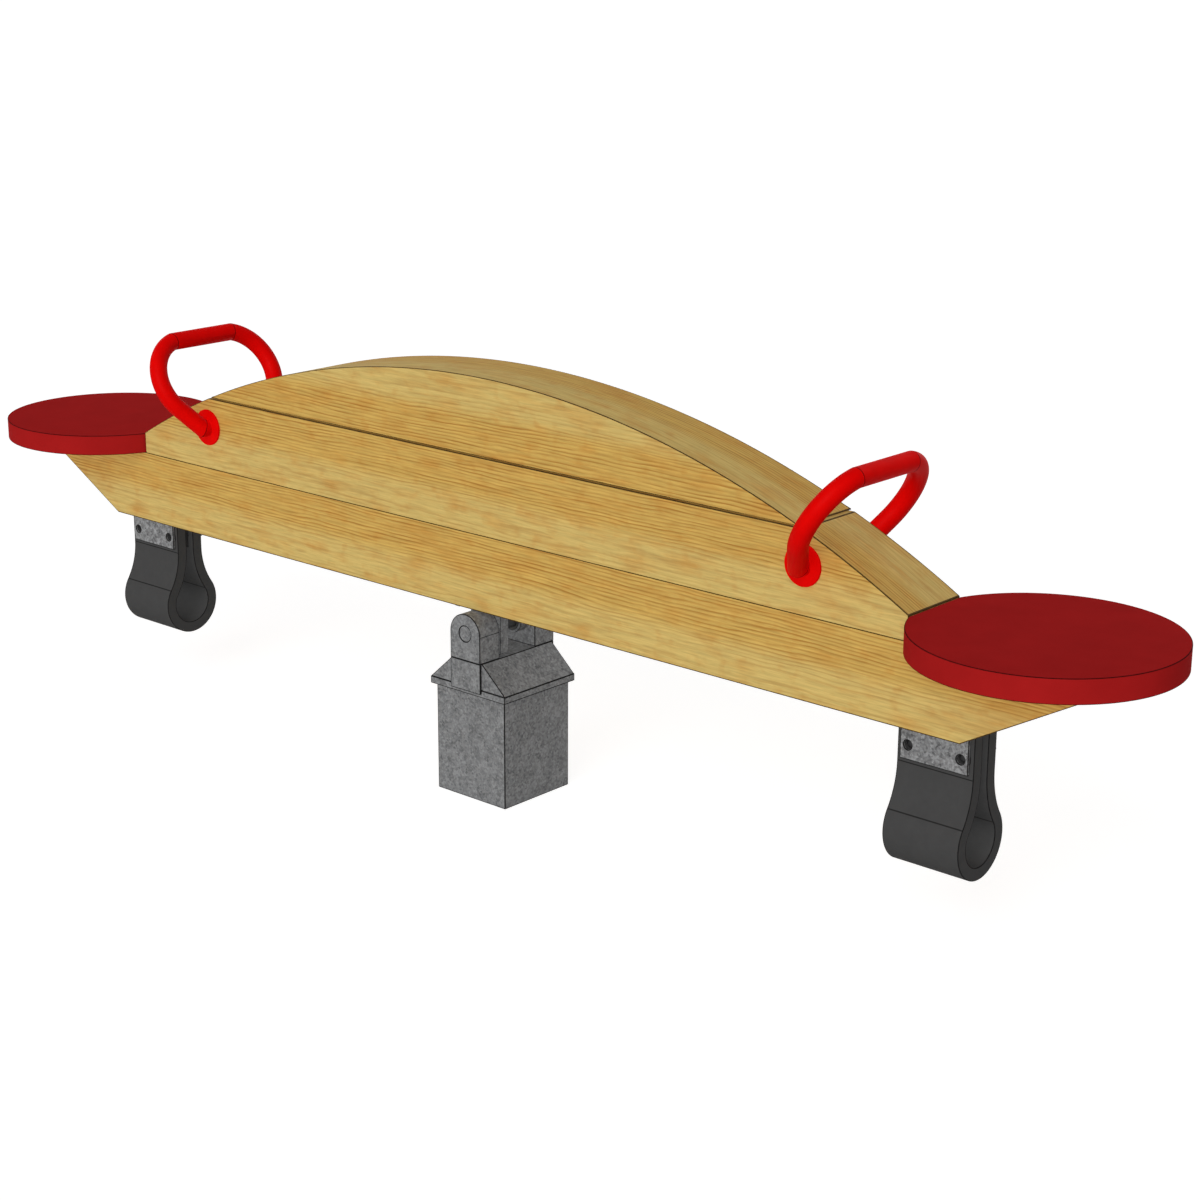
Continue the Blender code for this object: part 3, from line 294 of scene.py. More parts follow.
def planed_pine(name, heart_height, heart_across, shift):
    """Planed pine under clear oil. The saw meets the growth rings at a slant: far from the
    heart they show as fine, close, red-brown lines along the timber, and beside the heart
    as a pale, broad flame. The finish varies from timber to timber with where the heart lies."""
    finish, tree, shader, place = new_finish(name, **WOOD_SURFACE)
    grain = grain_place(tree, place, heart_height, heart_across, shift)
    ring_plane = add(tree, "ShaderNodeVectorMath", {0: grain, 1: (0, 1, 1)}, operation="MULTIPLY")
    from_heart = add(tree, "ShaderNodeVectorMath", {0: ring_plane.outputs[0]}, operation="LENGTH")
    from_heart = from_heart.outputs["Value"]
    late = late_wood(tree, grain, from_heart)

    # the pale flame ends 20 to 42 mm from the heart; along it lie stains, streaks and fibres
    pale = add(tree, "ShaderNodeMapRange", {0: from_heart, 1: 0.020, 2: 0.042, 3: 1.0, 4: 0.0},
               interpolation_type="SMOOTHSTEP")
    streaks = grain_noise(tree, grain, (0.110, 0.0042, 0.0042), 2)
    streak = add(tree, "ShaderNodeMapRange", {0: streaks, 1: 0.36, 2: 0.64, 3: 0.25, 4: 1.0})
    hazes = grain_noise(tree, grain, (0.060, 0.020, 0.020), 2)
    haze = add(tree, "ShaderNodeMapRange", {0: hazes, 1: 0.48, 2: 0.78, 3: 0.0, 4: 0.50})
    curls = grain_noise(tree, grain, (0.020, 0.016, 0.016), 2)
    curl = add(tree, "ShaderNodeMapRange", {0: curls, 1: 0.54, 2: 0.80, 3: 0.0, 4: 0.34})
    fibres = grain_noise(tree, grain, (0.035, 0.0021, 0.0021), 3, 0.65)
    fibre = add(tree, "ShaderNodeMapRange", {0: fibres, 1: 0.30, 2: 0.70, 3: 0.85, 4: 1.12})

    ground = add(tree, "ShaderNodeMix", {0: pale.outputs[0], 6: colour("C7A356"), 7: colour("C9AE68")},
                 data_type="RGBA")
    stained = add(tree, "ShaderNodeMix", {0: haze.outputs[0], 6: ground.outputs[2], 7: colour("BC8034")},
                  data_type="RGBA")
    stained = add(tree, "ShaderNodeMix", {0: curl.outputs[0], 6: stained.outputs[2], 7: colour("B87830")},
                  data_type="RGBA")
    strength = add(tree, "ShaderNodeMapRange", {0: pale.outputs[0], 3: 0.72, 4: 0.30})
    line = add(tree, "ShaderNodeMath", {0: late, 1: streak.outputs[0]}, operation="MULTIPLY")
    line = add(tree, "ShaderNodeMath", {0: line.outputs[0], 1: strength.outputs[0]}, operation="MULTIPLY")
    ringed = add(tree, "ShaderNodeMix", {0: line.outputs[0], 6: stained.outputs[2], 7: colour("966022")},
                 data_type="RGBA")
    wood = add(tree, "ShaderNodeVectorMath", {0: ringed.outputs[2], 1: fibre.outputs[0]},
               operation="MULTIPLY")
    tree.links.new(wood.outputs[0], shader.inputs["Base Color"])

    # planing leaves the hard late wood a hair proud
    emboss(tree, shader, line.outputs[0], LATE_WOOD_RELIEF, 0.6)
    sheen = add(tree, "ShaderNodeMapRange", {0: line.outputs[0], 3: 0.66, 4: 0.52})
    tree.links.new(sheen.outputs[0], shader.inputs["Roughness"])
    return finish


def emboss(tree, shader, height, depth, strength):
    """Raises the surface by a pattern, as deep as given."""
    relief = add(tree, "ShaderNodeBump", {"Height": height, "Distance": depth, "Strength": strength})
    tree.links.new(relief.outputs[0], shader.inputs["Normal"])


def mottled(name, dark, bright, blotch_size, low=0.3, high=0.7, **surface):
    """An even, moulded or painted surface: two near tones, mottled by noise of one size."""
    finish, tree, shader, place = new_finish(name, **surface)
    noise = grain_noise(tree, place.outputs["Object"], (blotch_size,) * 3, 3, 0.6)
    tone = add(tree, "ShaderNodeMapRange", {0: noise, 1: low, 2: high})
    mixed = add(tree, "ShaderNodeMix", {0: tone.outputs[0], 6: colour(dark), 7: colour(bright)},
                data_type="RGBA")
    tree.links.new(mixed.outputs[2], shader.inputs["Base Color"])
    return finish, tree, shader, place


def hot_dip_zinc(name, dull, bright, contrast):
    """Hot-dip galvanised steel, weathered matt. Zinc crystals, the spangle, about 3 mm across
    catch the light differently, over cloudy patches where the coat has dulled."""
    finish, tree, shader, place = new_finish(name, **ZINC_SURFACE)
    crystals = add(tree, "ShaderNodeTexVoronoi", {"Vector": place.outputs["Object"], "Scale": 1 / SPANGLE})
    crystal = add(tree, "ShaderNodeSeparateXYZ", {0: crystals.outputs["Color"]})
    clouds = grain_noise(tree, place.outputs["Object"], (ZINC_CLOUD,) * 3, 3, 0.6)
    grit = grain_noise(tree, place.outputs["Object"], (ZINC_GRIT,) * 3, 2, 0.6)
    shade = add(tree, "ShaderNodeMath", {0: crystal.outputs[0], 1: 0.50, 2: clouds},
                operation="MULTIPLY_ADD")
    shade = add(tree, "ShaderNodeMath", {0: grit, 1: 0.90, 2: shade.outputs[0]},
                operation="MULTIPLY_ADD")
    # half of the spangle, the clouds and most of the grit come to 1.2 on average
    tone = add(tree, "ShaderNodeMapRange", {0: shade.outputs[0], 1: 1.2 - contrast, 2: 1.2 + contrast})
    mixed = add(tree, "ShaderNodeMix", {0: tone.outputs[0], 6: colour(dull), 7: colour(bright)},
                data_type="RGBA")
    tree.links.new(mixed.outputs[2], shader.inputs["Base Color"])
    gloss = add(tree, "ShaderNodeMapRange", {0: crystal.outputs[1], 3: 0.58, 4: 0.74})
    tree.links.new(gloss.outputs[0], shader.inputs["Roughness"])
    emboss(tree, shader, grit, 0.0001, 0.5)
    return finish


def powder_coat(name, deep, bright):
    """Red powder coat on steel tube, satin, with the faint orange peel of baked powder."""
    finish, tree, shader, place = mottled(name, deep, bright, PAINT_CLOUD, 0.35, 0.65, **PAINT_SURFACE)
    peel = grain_noise(tree, place.outputs["Object"], (PAINT_PEEL,) * 3, 1)
    emboss(tree, shader, peel, 0.00005, 0.4)
    return finish


def textured_board(name, deep, bright):
    """High-density polyethylene board, dark red right through, with a fine pebbled face."""
    finish, tree, shader, place = mottled(name, deep, bright, BOARD_CLOUD, **BOARD_SURFACE)
    pebbles = grain_noise(tree, place.outputs["Object"], (BOARD_PEBBLE,) * 3, 2)
    emboss(tree, shader, pebbles, 0.00008, 0.5)
    return finish


def moulded_rubber(name, deep, bright, outer_seams, inner_seam):
    """Black rubber, moulded and matt, greyed by weather. Mould lines run across the strap's
    outer face under the plate and where the loop begins, and across its inner face there."""
    finish, tree, shader, place = mottled(name, deep, bright, RUBBER_CLOUD, **RUBBER_SURFACE)
    tone = shader.inputs["Base Color"].links[0].from_socket
    at = add(tree, "ShaderNodeSeparateXYZ", {0: place.outputs["Object"]})
    facing = add(tree, "ShaderNodeSeparateXYZ", {0: place.outputs["Normal"]})
    # a face looks outward where its normal and its place lie on the same side of the middle
    side = add(tree, "ShaderNodeMath", {0: at.outputs[1]}, operation="SIGN")
    outward = add(tree, "ShaderNodeMath", {0: facing.outputs[1], 1: side.outputs[0]}, operation="MULTIPLY")
    for seam_height, turned in ((outer_seams[0], 1), (outer_seams[1], 1), (inner_seam, -1)):
        faces = add(tree, "ShaderNodeMath", {0: outward.outputs[0], 1: turned * 0.5},
                    operation="GREATER_THAN" if turned > 0 else "LESS_THAN")
        off_seam = add(tree, "ShaderNodeMath", {0: at.outputs[2], 1: seam_height}, operation="SUBTRACT")
        off_seam = add(tree, "ShaderNodeMath", {0: off_seam.outputs[0]}, operation="ABSOLUTE")
        seam = add(tree, "ShaderNodeMapRange",
                   {0: off_seam.outputs[0], 1: SEAM_CORE, 2: SEAM_EDGE, 3: 0.8, 4: 0.0})
        seam = add(tree, "ShaderNodeMath", {0: seam.outputs[0], 1: faces.outputs[0]},
                   operation="MULTIPLY")
        lined = add(tree, "ShaderNodeMix", {0: seam.outputs[0], 6: tone, 7: colour("161616")},
                    data_type="RGBA")
        tone = lined.outputs[2]
    tree.links.new(tone, shader.inputs["Base Color"])
    grain = grain_noise(tree, place.outputs["Object"], (RUBBER_GRAIN,) * 3, 2)
    emboss(tree, shader, grain, 0.0001, 0.5)
    return finish


def darken(tree, shader, share, dark):
    """Mixes the finish's tone towards a dark one."""
    tone = shader.inputs["Base Color"].links[0].from_socket
    mixed = add(tree, "ShaderNodeMix", {0: share, 6: tone, 7: colour(dark)}, data_type="RGBA")
    tree.links.new(mixed.outputs[2], shader.inputs["Base Color"])


def plated_bolt(name):
    """Zinc-plated bolt whose threaded end, in front of the strap's middle, is darkened: painted shade in
    the bore behind the front plate's hole.
    """
    finish, tree, shader, place = mottled(name, "787A7C", "8A8C8E", PLATING_BLOTCH, **PLATED_SURFACE)
    at = add(tree, "ShaderNodeSeparateXYZ", {0: place.outputs["Object"]})
    # painted shade: the thread's end darkens towards the front, where it sits in the bore
    threaded_end_shade = add(tree, "ShaderNodeMapRange", {0: at.outputs[1], 1: 0.0, 2: BORE_SHADE_END, 3: 0.9, 4: 0.0})
    darken(tree, shader, threaded_end_shade.outputs[0], "161616")
    return finish


def greased_pin(name):
    """Galvanised pin, dark with grease where it runs between the ears."""
    finish = hot_dip_zinc(name, "4E4F50", "868788", ZINC_CONTRAST)
    tree = finish.node_tree
    place = add(tree, "ShaderNodeTexCoord")
    at = add(tree, "ShaderNodeSeparateXYZ", {0: place.outputs["Object"]})
    out = add(tree, "ShaderNodeMath", {0: at.outputs[1]}, operation="ABSOLUTE")
    greased = add(tree, "ShaderNodeMapRange",
                  {0: out.outputs[0], 1: GREASE_FULL, 2: GREASE_END, 3: 0.9, 4: 0.0})
    darken(tree, tree.nodes["Principled BSDF"], greased.outputs[0], "262626")
    return finish


# Shapes

def on_axis(axis, u, v, along):
    """A point whose u, v lie in the plane square to the axis."""
    if axis == "X":
        return Vector((along, u, v))
    if axis == "Y":
        return Vector((u, along, v))
    return Vector((u, v, along))


def middle_of(name):
    """Middle of a solid's box."""
    return [(low + high) / 2 for low, high in zip(*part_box(name))]


def spread(start, end, steps):
    return [start + (end - start) * i / steps for i in range(steps + 1)]


def skin(bm, rings, closed_ends=True, materials=None):
    """Joins rings of as many points each; materials gives each band's finish."""
    rows = [[bm.verts.new(point) for point in ring] for ring in rings]
    for band, (lower, upper) in enumerate(zip(rows, rows[1:])):
        for i in range(len(lower)):
            j = (i + 1) % len(lower)
            face = bm.faces.new((lower[i], lower[j], upper[j], upper[i]))
            face.material_index = materials[band] if materials else 0
    if closed_ends:
        bm.faces.new(rows[0])
        bm.faces.new(list(reversed(rows[-1])))


def add_prism(bm, outline, axis, low, high):
    skin(bm, [[on_axis(axis, u, v, along) for u, v in outline] for along in (low, high)])


def circle(radius, sides, centre=(0, 0)):
    angles = [2 * pi * i / sides for i in range(sides)]
    return [(centre[0] + radius * cos(a), centre[1] + radius * sin(a)) for a in angles]


def rectangle(low_u, high_u, low_v, high_v):
    return [(low_u, low_v), (high_u, low_v), (high_u, high_v), (low_u, high_v)]


def add_lathe(bm, axis, centre, profile, sides):
    """A turned body: each profile point is a radius and a place along the axis."""
    skin(bm, [[on_axis(axis, u, v, along) for u, v in circle(radius, sides, centre)]
              for radius, along in profile])


def make_object(name, bm, finishes=()):
    bmesh.ops.recalc_face_normals(bm, faces=bm.faces)
    mesh = bpy.data.meshes.new(name)
    bm.to_mesh(mesh)
    bm.free()
    for finish in finishes:
        mesh.materials.append(finish)
    mesh.shade_smooth()
    mesh.set_sharp_from_angle(angle=radians(SHARP_ANGLE))
    made = bpy.data.objects.new(name, mesh)
    SCENE.collection.objects.link(made)
    return made


def cut_away(piece, cutter_mesh):
    """Takes the cutter's space out of the piece, and removes the cutter."""
    cutter = make_object(f"{piece.name}_cutter", cutter_mesh)
    modifier = piece.modifiers.new("cut", "BOOLEAN")
    modifier.object = cutter
    modifier.solver = "EXACT"
    depsgraph = bpy.context.evaluated_depsgraph_get()
    carved = bpy.data.meshes.new_from_object(piece.evaluated_get(depsgraph))
    piece.modifiers.clear()
    piece.data = carved
    bpy.data.objects.remove(cutter)


def smooth_regions(bm, limit):
    """Sets of faces that meet at less than the limit, each ringed by sharp edges."""
    taken = set()
    regions = []
    for start in bm.faces:
        if start in taken:
            continue
        taken.add(start)
        region = [start]
        for face in region:
            for edge in face.edges:
                if edge.calc_face_angle(pi) <= radians(limit):
                    near = [other for other in edge.link_faces if other not in taken]
                    taken.update(near)
                    region += near
        regions.append(region)
    return regions


def line_edges(piece, width, limit=SHARP_ANGLE, share=None):
    """A thin band of the piece's second finish along both sides of every sharp edge. Where
    it is given, share tells from a region's middle which part of the width its band gets."""
    bm = bmesh.new()
    bm.from_mesh(piece.data)
    for region in smooth_regions(bm, limit):
        area = sum(face.calc_area() for face in region)
        inside = set(region)
        rim = sum(edge.calc_length() for face in region for edge in face.edges
                  if not inside.issuperset(edge.link_faces))
        middle = sum((face.calc_center_median() * face.calc_area() for face in region),
                     Vector()) / area
        band = width * (share(middle) if share else 1)
        if area < NARROW_REGION * band * rim:
            bands = region
        else:
            bands = bmesh.ops.inset_region(bm, faces=region, thickness=band, use_boundary=True,
                                           use_even_offset=True)["faces"]
        for face in bands:
            face.material_index = 1
    bm.to_mesh(piece.data)
    bm.free()


def ease_edges(piece, width, segments=2, limit=SHARP_ANGLE):
    """Rounds every sharp edge; the rounding takes the piece's second finish."""
    modifier = piece.modifiers.new("eased_edges", "BEVEL")
    modifier.width = width
    modifier.segments = segments
    modifier.limit_method = "ANGLE"
    modifier.angle_limit = radians(limit)
    modifier.harden_normals = True
    modifier.material = 1


def settle(piece, body, slot, *nodes):
    """The piece stands for these solids, hides them and rides on their body; the slot is not used."""
    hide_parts(*nodes)
    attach(piece, body)


def arc_height(x):
    """Height of the beam's curved top at a distance along the beam."""
    return ARC_CENTRE + sqrt(ARC_RADIUS ** 2 - x ** 2)


def arc_reach(z):
    return sqrt(ARC_RADIUS ** 2 - (z - ARC_CENTRE) ** 2)


# Timbers

def screw_bores(names, radius, low, high=None):
    """Blind round holes about the axes of upright screws, each up to a height or, without
    one, over the screw's head."""
    bm = bmesh.new()
    for name in names:
        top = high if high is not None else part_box(name)[0].z + SEAT_SCREW_HEAD
        add_prism(bm, circle(radius, SCREW_BORE_SIDES, middle_of(name)[:2]), "Z", low, top)
    return bm


def line_timber(timber, *level_edges):
    """Dark lines along a timber's edges. Each level edge has its height, the way in from it
    and how far in its dark band reaches: dirt at the lowest edges and the tight joint, painted shade of
    the gap at the open joint."""
    line_edges(timber, TIMBER_LINE, limit=LOW_ANGLE,
               share=lambda middle: TOP_LINE_SHARE if abs(middle.y) < FACE_GAP else 1)
    for edge_height, inward, width in level_edges:
        for vertex in timber.data.vertices:
            if abs(inward * (vertex.co.z - edge_height) - TIMBER_LINE) < FACE_GAP / 2:
                vertex.co.z = edge_height + inward * width


def make_lower_timber(pine, arris):
    half = [(UNDERSIDE_REACH, BEAM_BOTTOM), (NOSE_REACH, LOWER_TOP - NOSE_DEPTH),
            (NOSE_REACH, LOWER_TOP)]
    outline = half + [(-x, z) for x, z in reversed(half)]
    bm = bmesh.new()
    add_prism(bm, outline, "Y", -HALF_BEAM, HALF_BEAM)
    timber = make_object("lower_timber_planed", bm, (pine, arris))
    ties = [f"{row}_tie_screw_{n}" for row in ("inner", "middle", "outer") for n in (1, 2)]
    below = BEAM_BOTTOM - CUT_MARGIN
    cut_away(timber, screw_bores(ties, TIE_COUNTERBORE_RADIUS, below,
                                 BEAM_BOTTOM + TIE_COUNTERBORE_DEPTH))
    seat_screws = [f"{side}_{row}_seat_screw" for side in SIDES for row in ("inner", "outer")]
    cut_away(timber, screw_bores(seat_screws, SEAT_COUNTERBORE_RADIUS, below))
    pockets = bmesh.new()
    for side in SIDES:
        low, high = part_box(f"{side}_damper_hanger")
        outline = rectangle(low.x - FACE_GAP, high.x + FACE_GAP,
                            low.y - FACE_GAP, high.y + FACE_GAP)
        add_prism(pockets, outline, "Z", below, high.z + FACE_GAP)
    cut_away(timber, pockets)
    line_timber(timber, (BEAM_BOTTOM, 1, DRIP_LINE), (LOWER_TOP, -1, TIGHT_JOINT_LINE))
    ease_edges(timber, TIMBER_ARRIS)
    settle(timber, "rocker", "timber", "lower_timber")


def make_middle_timber(pine, arris):
    reach = arc_reach(MIDDLE_TOP)
    slope = [(x, arc_height(x)) for x in spread(MIDDLE_REACH, reach, ARC_STEPS // 4)]
    half = [(MIDDLE_REACH, MIDDLE_BOTTOM)] + slope
    outline = half + [(-x, z) for x, z in reversed(half)]
    bm = bmesh.new()
    add_prism(bm, outline, "Y", -HALF_BEAM, HALF_BEAM)
    timber = make_object("middle_timber_planed", bm, (pine, arris))
    line_timber(timber, (MIDDLE_BOTTOM, 1, TIGHT_JOINT_LINE), (MIDDLE_TOP, -1, JOINT_LINE))
    ease_edges(timber, TIMBER_ARRIS, limit=LOW_ANGLE)
    settle(timber, "rocker", "timber", "middle_timber")


def make_upper_timber(pine, arris):
    bottom = UPPER_BOTTOM + OPEN_JOINT
    top = [(x, arc_height(x)) for x in spread(UPPER_REACH, -UPPER_REACH, ARC_STEPS)]
    outline = [(-UPPER_REACH, bottom), (UPPER_REACH, bottom)] + top
    bm = bmesh.new()
    add_prism(bm, outline, "Y", -HALF_BEAM, HALF_BEAM)
    timber = make_object("upper_timber_planed", bm, (pine, arris))
    line_timber(timber, (bottom, 1, JOINT_LINE))
    ease_edges(timber, TIMBER_ARRIS, limit=LOW_ANGLE)
    settle(timber, "rocker", "timber", "upper_timber")


def make_timbers():
    # the arrises are darker: dirt and oil hold in the planed-off corner; beside the open joint the same
    # dark is painted shade of the gap
    arris = mottled("PineArrisOiledDark", "3A280E", "553E19", GRIME_BLOTCH, **WOOD_SURFACE)[0]
    low_heart = HEART_SHARE * (LOWER_TOP - BEAM_BOTTOM)
    make_lower_timber(planed_pine("PinePlanedLower", BEAM_BOTTOM + low_heart, 0.012, 0.31), arris)
    make_middle_timber(planed_pine("PinePlanedMiddle", MIDDLE_BOTTOM + low_heart, 0.020, 1.87), arris)
    make_upper_timber(planed_pine("PinePlanedUpper", ARC_APEX - low_heart, -0.030, 4.13), arris)


# Seats

def make_seats():
    board = textured_board("PolyethyleneBoardDarkRed", "9A1919", "A21B1B")
    # routed edges, rubbed and dirty, read as a dark line
    edge = mottled("PolyethyleneBoardRoutedEdge", "3A0809", "500C0D", GRIME_BLOTCH, **BOARD_SURFACE)[0]
    chord = asin(HALF_BEAM / SEAT_RADIUS)
    for side, sign in SIDES.items():
        low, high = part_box(f"{side}_seat")
        centre = high.x - SEAT_RADIUS if sign > 0 else low.x + SEAT_RADIUS
        angles = spread(-pi + chord, pi - chord, SEAT_STEPS)
        outline = [(centre + sign * SEAT_RADIUS * cos(a), SEAT_RADIUS * sin(a)) for a in angles]
        bm = bmesh.new()
        add_prism(bm, outline, "Z", low.z, high.z)
        seat = make_object(f"{side}_seat_board", bm, (board, edge))
        line_edges(seat, SEAT_LINE)
        ease_edges(seat, SEAT_ARRIS, segments=3)
        settle(seat, "rocker", "seat_board", f"{side}_seat")


# Handles

def handle_half_line():
    """Half the tube's centre line in its own plane: distance from the beam's centre plane,
    and distance up the tilted plane, from the flange to the crossbar's corner."""
    start = HALF_BEAM + FACE_GAP + FLANGE_THICKNESS + FACE_GAP
    corner = start + HANDLE_STUB + TUBE_RADIUS * tan(HANDLE_RISE_ANGLE / 2)
    rise = (cos(HANDLE_RISE_ANGLE), sin(HANDLE_RISE_ANGLE))
    foot = (corner + HANDLE_STRAIGHT * rise[0], HANDLE_STRAIGHT * rise[1])
    centre = (foot[0] - HANDLE_BEND_RADIUS * rise[1], foot[1] + HANDLE_BEND_RADIUS * rise[0])
    line = [(start, 0), (corner, 0)]
    for turned in spread(0, HANDLE_BEND_ANGLE, HANDLE_BEND_STEPS):
        angle = HANDLE_RISE_ANGLE - pi / 2 + turned
        line.append((centre[0] + HANDLE_BEND_RADIUS * cos(angle),
                     centre[1] + HANDLE_BEND_RADIUS * sin(angle)))
    return line


def tube_rings(points, joints):
    """Carries a round section along the line, cut at every corner in the mitre plane.
    At a joint the section dips a little, and the bands beside it take the second finish."""
    first = (points[1] - points[0]).normalized()
    across = Vector((1, 0, 0))
    up = first.cross(across)
    ring = [points[0] + TUBE_RADIUS * (cos(a) * across + sin(a) * up)
            for a in (2 * pi * i / TUBE_SIDES for i in range(TUBE_SIDES))]
    rings = [ring]
    finishes = []
    for i in range(1, len(points)):
        along = (points[i] - points[i - 1]).normalized()
        ahead = (points[i + 1] - points[i]).normalized() if i + 1 < len(points) else along
        normal = (along + ahead).normalized()
        ring = [p + along * ((points[i] - p).dot(normal) / along.dot(normal)) for p in ring]
        if i in joints:
            rings.append([p - along * JOINT_HALF_WIDTH for p in ring])
            rings.append([p + (points[i] - p).normalized() * JOINT_SINK for p in ring])
            rings.append([p + ahead * JOINT_HALF_WIDTH for p in ring])
            finishes += [0, 1, 1]
        else:
            rings.append(ring)
            finishes.append(0)
    return rings, finishes


def make_handles():
    red = powder_coat("PowderCoatRed", "D20302", "DC0402")
    # the coat lies thin and dirty in the joints of the tube, and the dark of their grooves is painted
    # shade
    joint_red = mottled("PowderCoatRedInJoint", "5A0101", "7A0202", WORN_BLOTCH, **PAINT_SURFACE)[0]
    line = handle_half_line()
    last = len(line) - 1
    joints = {1, last, last + 1, 2 * last}
    for side, sign in SIDES.items():
        foot = middle_of(f"{side}_front_handle_flange")
        at = Vector((foot[0], 0, foot[2]))
        whole = [(-y, s) for y, s in line] + [(y, s) for y, s in reversed(line)]
        points = [at + Vector((sign * s * sin(HANDLE_TILT), y, s * cos(HANDLE_TILT))) for y, s in whole]
        rings, finishes = tube_rings(points, joints)
        bm = bmesh.new()
        skin(bm, rings, materials=finishes)
        handle = make_object(f"{side}_handle_tube", bm, (red, joint_red))
        settle(handle, "rocker", "red_paint", f"{side}_handle")
        for face, facing in FACES.items():
            make_flange(f"{side}_{face}", facing, at, (red, joint_red))


def make_flange(label, facing, at, finishes):
    """A turned disc with an eased rim and a small fillet round the tube's foot."""
    node = f"{label}_handle_flange"
    back = HALF_BEAM + FACE_GAP
    face = max(abs(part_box(node)[0].y), abs(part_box(node)[1].y))
    profile = [(FLANGE_RADIUS - FLANGE_BACK_EDGE, back), (FLANGE_RADIUS, back + FLANGE_BACK_EDGE)]
    profile += [(FLANGE_RADIUS - FLANGE_EDGE * (1 - cos(a)), face - FLANGE_EDGE * (1 - sin(a)))
                for a in spread(0, pi / 2, FLANGE_EDGE_STEPS)]
    profile += [(TUBE_RADIUS + FILLET * (1 - sin(a)), face + FILLET * (1 - cos(a)))
                for a in spread(0, pi / 2, FILLET_STEPS)]
    bm = bmesh.new()
    add_lathe(bm, "Y", (at.x, at.z), [(radius, facing * along) for radius, along in profile],
              TURNED_SIDES)
    flange = make_object(f"{label}_handle_flange_turned", bm, finishes)
    settle(flange, "rocker", "red_paint", node)


# Post, cap and fork

def make_post(zinc, arris):
    low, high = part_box("post_tube")
    outer = rectangle(*(POST_WIDTH / 2 * side for side in (-1, 1, -1, 1)))
    inner = [(x * POST_BORE_SHARE, y * POST_BORE_SHARE) for x, y in outer]
    rings = [[on_axis("Z", x, y, z) for x, y in outline]
             for outline, z in ((inner, low.z), (outer, low.z), (outer, high.z), (inner, high.z))]
    bm = bmesh.new()
    skin(bm, rings + rings[:1], closed_ends=False)
    bmesh.ops.remove_doubles(bm, verts=bm.verts, dist=SAME_POINT)
    post = make_object("post_tube_rolled", bm, (zinc, arris))
    line_edges(post, POST_LINE)
    ease_edges(post, POST_CORNER)
    settle(post, "post", "galvanised", "post_tube")


def make_cap(zinc, arris):
    low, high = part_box("post_cap")
    half = high.x
    lip_top = low.z + LIP_HEIGHT
    gable = half - GABLE_INSET
    base = [(-half, low.z), (half, low.z)]
    bm = bmesh.new()
    roof = [(-half, lip_top), (half, lip_top), (EAR_RADIUS, high.z), (-EAR_RADIUS, high.z)]
    lip = base + [(half, lip_top), (EAR_RADIUS, lip_top), (-EAR_RADIUS, lip_top), (-half, lip_top)]
    house = base + roof[1:] + roof[:1]
    stations = ((-half, lip), (-gable, lip), (-gable, house),
                (gable, house), (gable, lip), (half, lip))
    skin(bm, [[on_axis("Y", x, z, y) for x, z in outline] for y, outline in stations])
    bmesh.ops.remove_doubles(bm, verts=bm.verts, dist=SAME_POINT)
    cap = make_object("post_cap_folded", bm, (zinc, arris))
    socket = bmesh.new()
    inside = POST_WIDTH / 2 + FACE_GAP
    add_prism(socket, rectangle(-inside, inside, -inside, inside), "Z", low.z - CUT_MARGIN,
              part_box("post_tube")[1].z + FACE_GAP)
    cut_away(cap, socket)
    line_edges(cap, METAL_LINE, limit=ROOF_ANGLE)
    ease_edges(cap, METAL_ARRIS, limit=ROOF_ANGLE)
    settle(cap, "post", "galvanised", "post_cap")


def bore_out(piece, radius, low, high):
    """Bores the piece through, about the pin's axis."""
    bore = bmesh.new()
    add_prism(bore, circle(radius, TURNED_SIDES, (0, PIN_HEIGHT)), "Y",
              low - CUT_MARGIN, high + CUT_MARGIN)
    cut_away(piece, bore)


def make_ear(face, finishes):
    """A thick bar as wide as the cap's flat top, with a round top about the pin."""
    low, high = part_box(f"{face}_ear")
    arc = [(EAR_RADIUS * cos(a), PIN_HEIGHT + EAR_RADIUS * sin(a)) for a in spread(0, pi, EAR_STEPS)]
    outline = [(-EAR_RADIUS, low.z), (EAR_RADIUS, low.z), (EAR_RADIUS, PIN_HEIGHT - TANGENT_LINE)]
    outline += arc + [(-EAR_RADIUS, PIN_HEIGHT - TANGENT_LINE)]
    bm = bmesh.new()
    add_prism(bm, outline, "Y", low.y, high.y)
    for flank in bm.faces:
        if abs(flank.calc_center_median().z - PIN_HEIGHT + TANGENT_LINE / 2) < TANGENT_LINE / 4:
            flank.material_index = 1
    ear = make_object(f"{face}_ear_forged", bm, finishes)
    bore_out(ear, BORE_RADIUS, low.y, high.y)
    if face == "rear":
        grub = bmesh.new()
        centre = ((low.y + high.y) / 2, PIN_HEIGHT)
        add_prism(grub, circle(GRUB_RADIUS, SCREW_BORE_SIDES, centre), "X", -EAR_RADIUS - CUT_MARGIN, 0)
        cut_away(ear, grub)
    line_edges(ear, METAL_LINE)
    ease_edges(ear, METAL_ARRIS)
    settle(ear, "post", "galvanised", f"{face}_ear")


def make_pin():
    pin_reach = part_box("pivot_pin")[1]
    radius = pin_reach.x
    half = pin_reach.y
    profile = ((radius - PIN_CHAMFER, -half), (radius, -half + PIN_CHAMFER),
               (radius, half - PIN_CHAMFER), (radius - PIN_CHAMFER, half))
    bm = bmesh.new()
    add_lathe(bm, "Y", (0, PIN_HEIGHT), profile, TURNED_SIDES)
    pin = make_object("pivot_pin_turned", bm, (greased_pin("SteelGalvanisedGreasedPin"),))
    settle(pin, "post", "zinc", "pivot_pin")


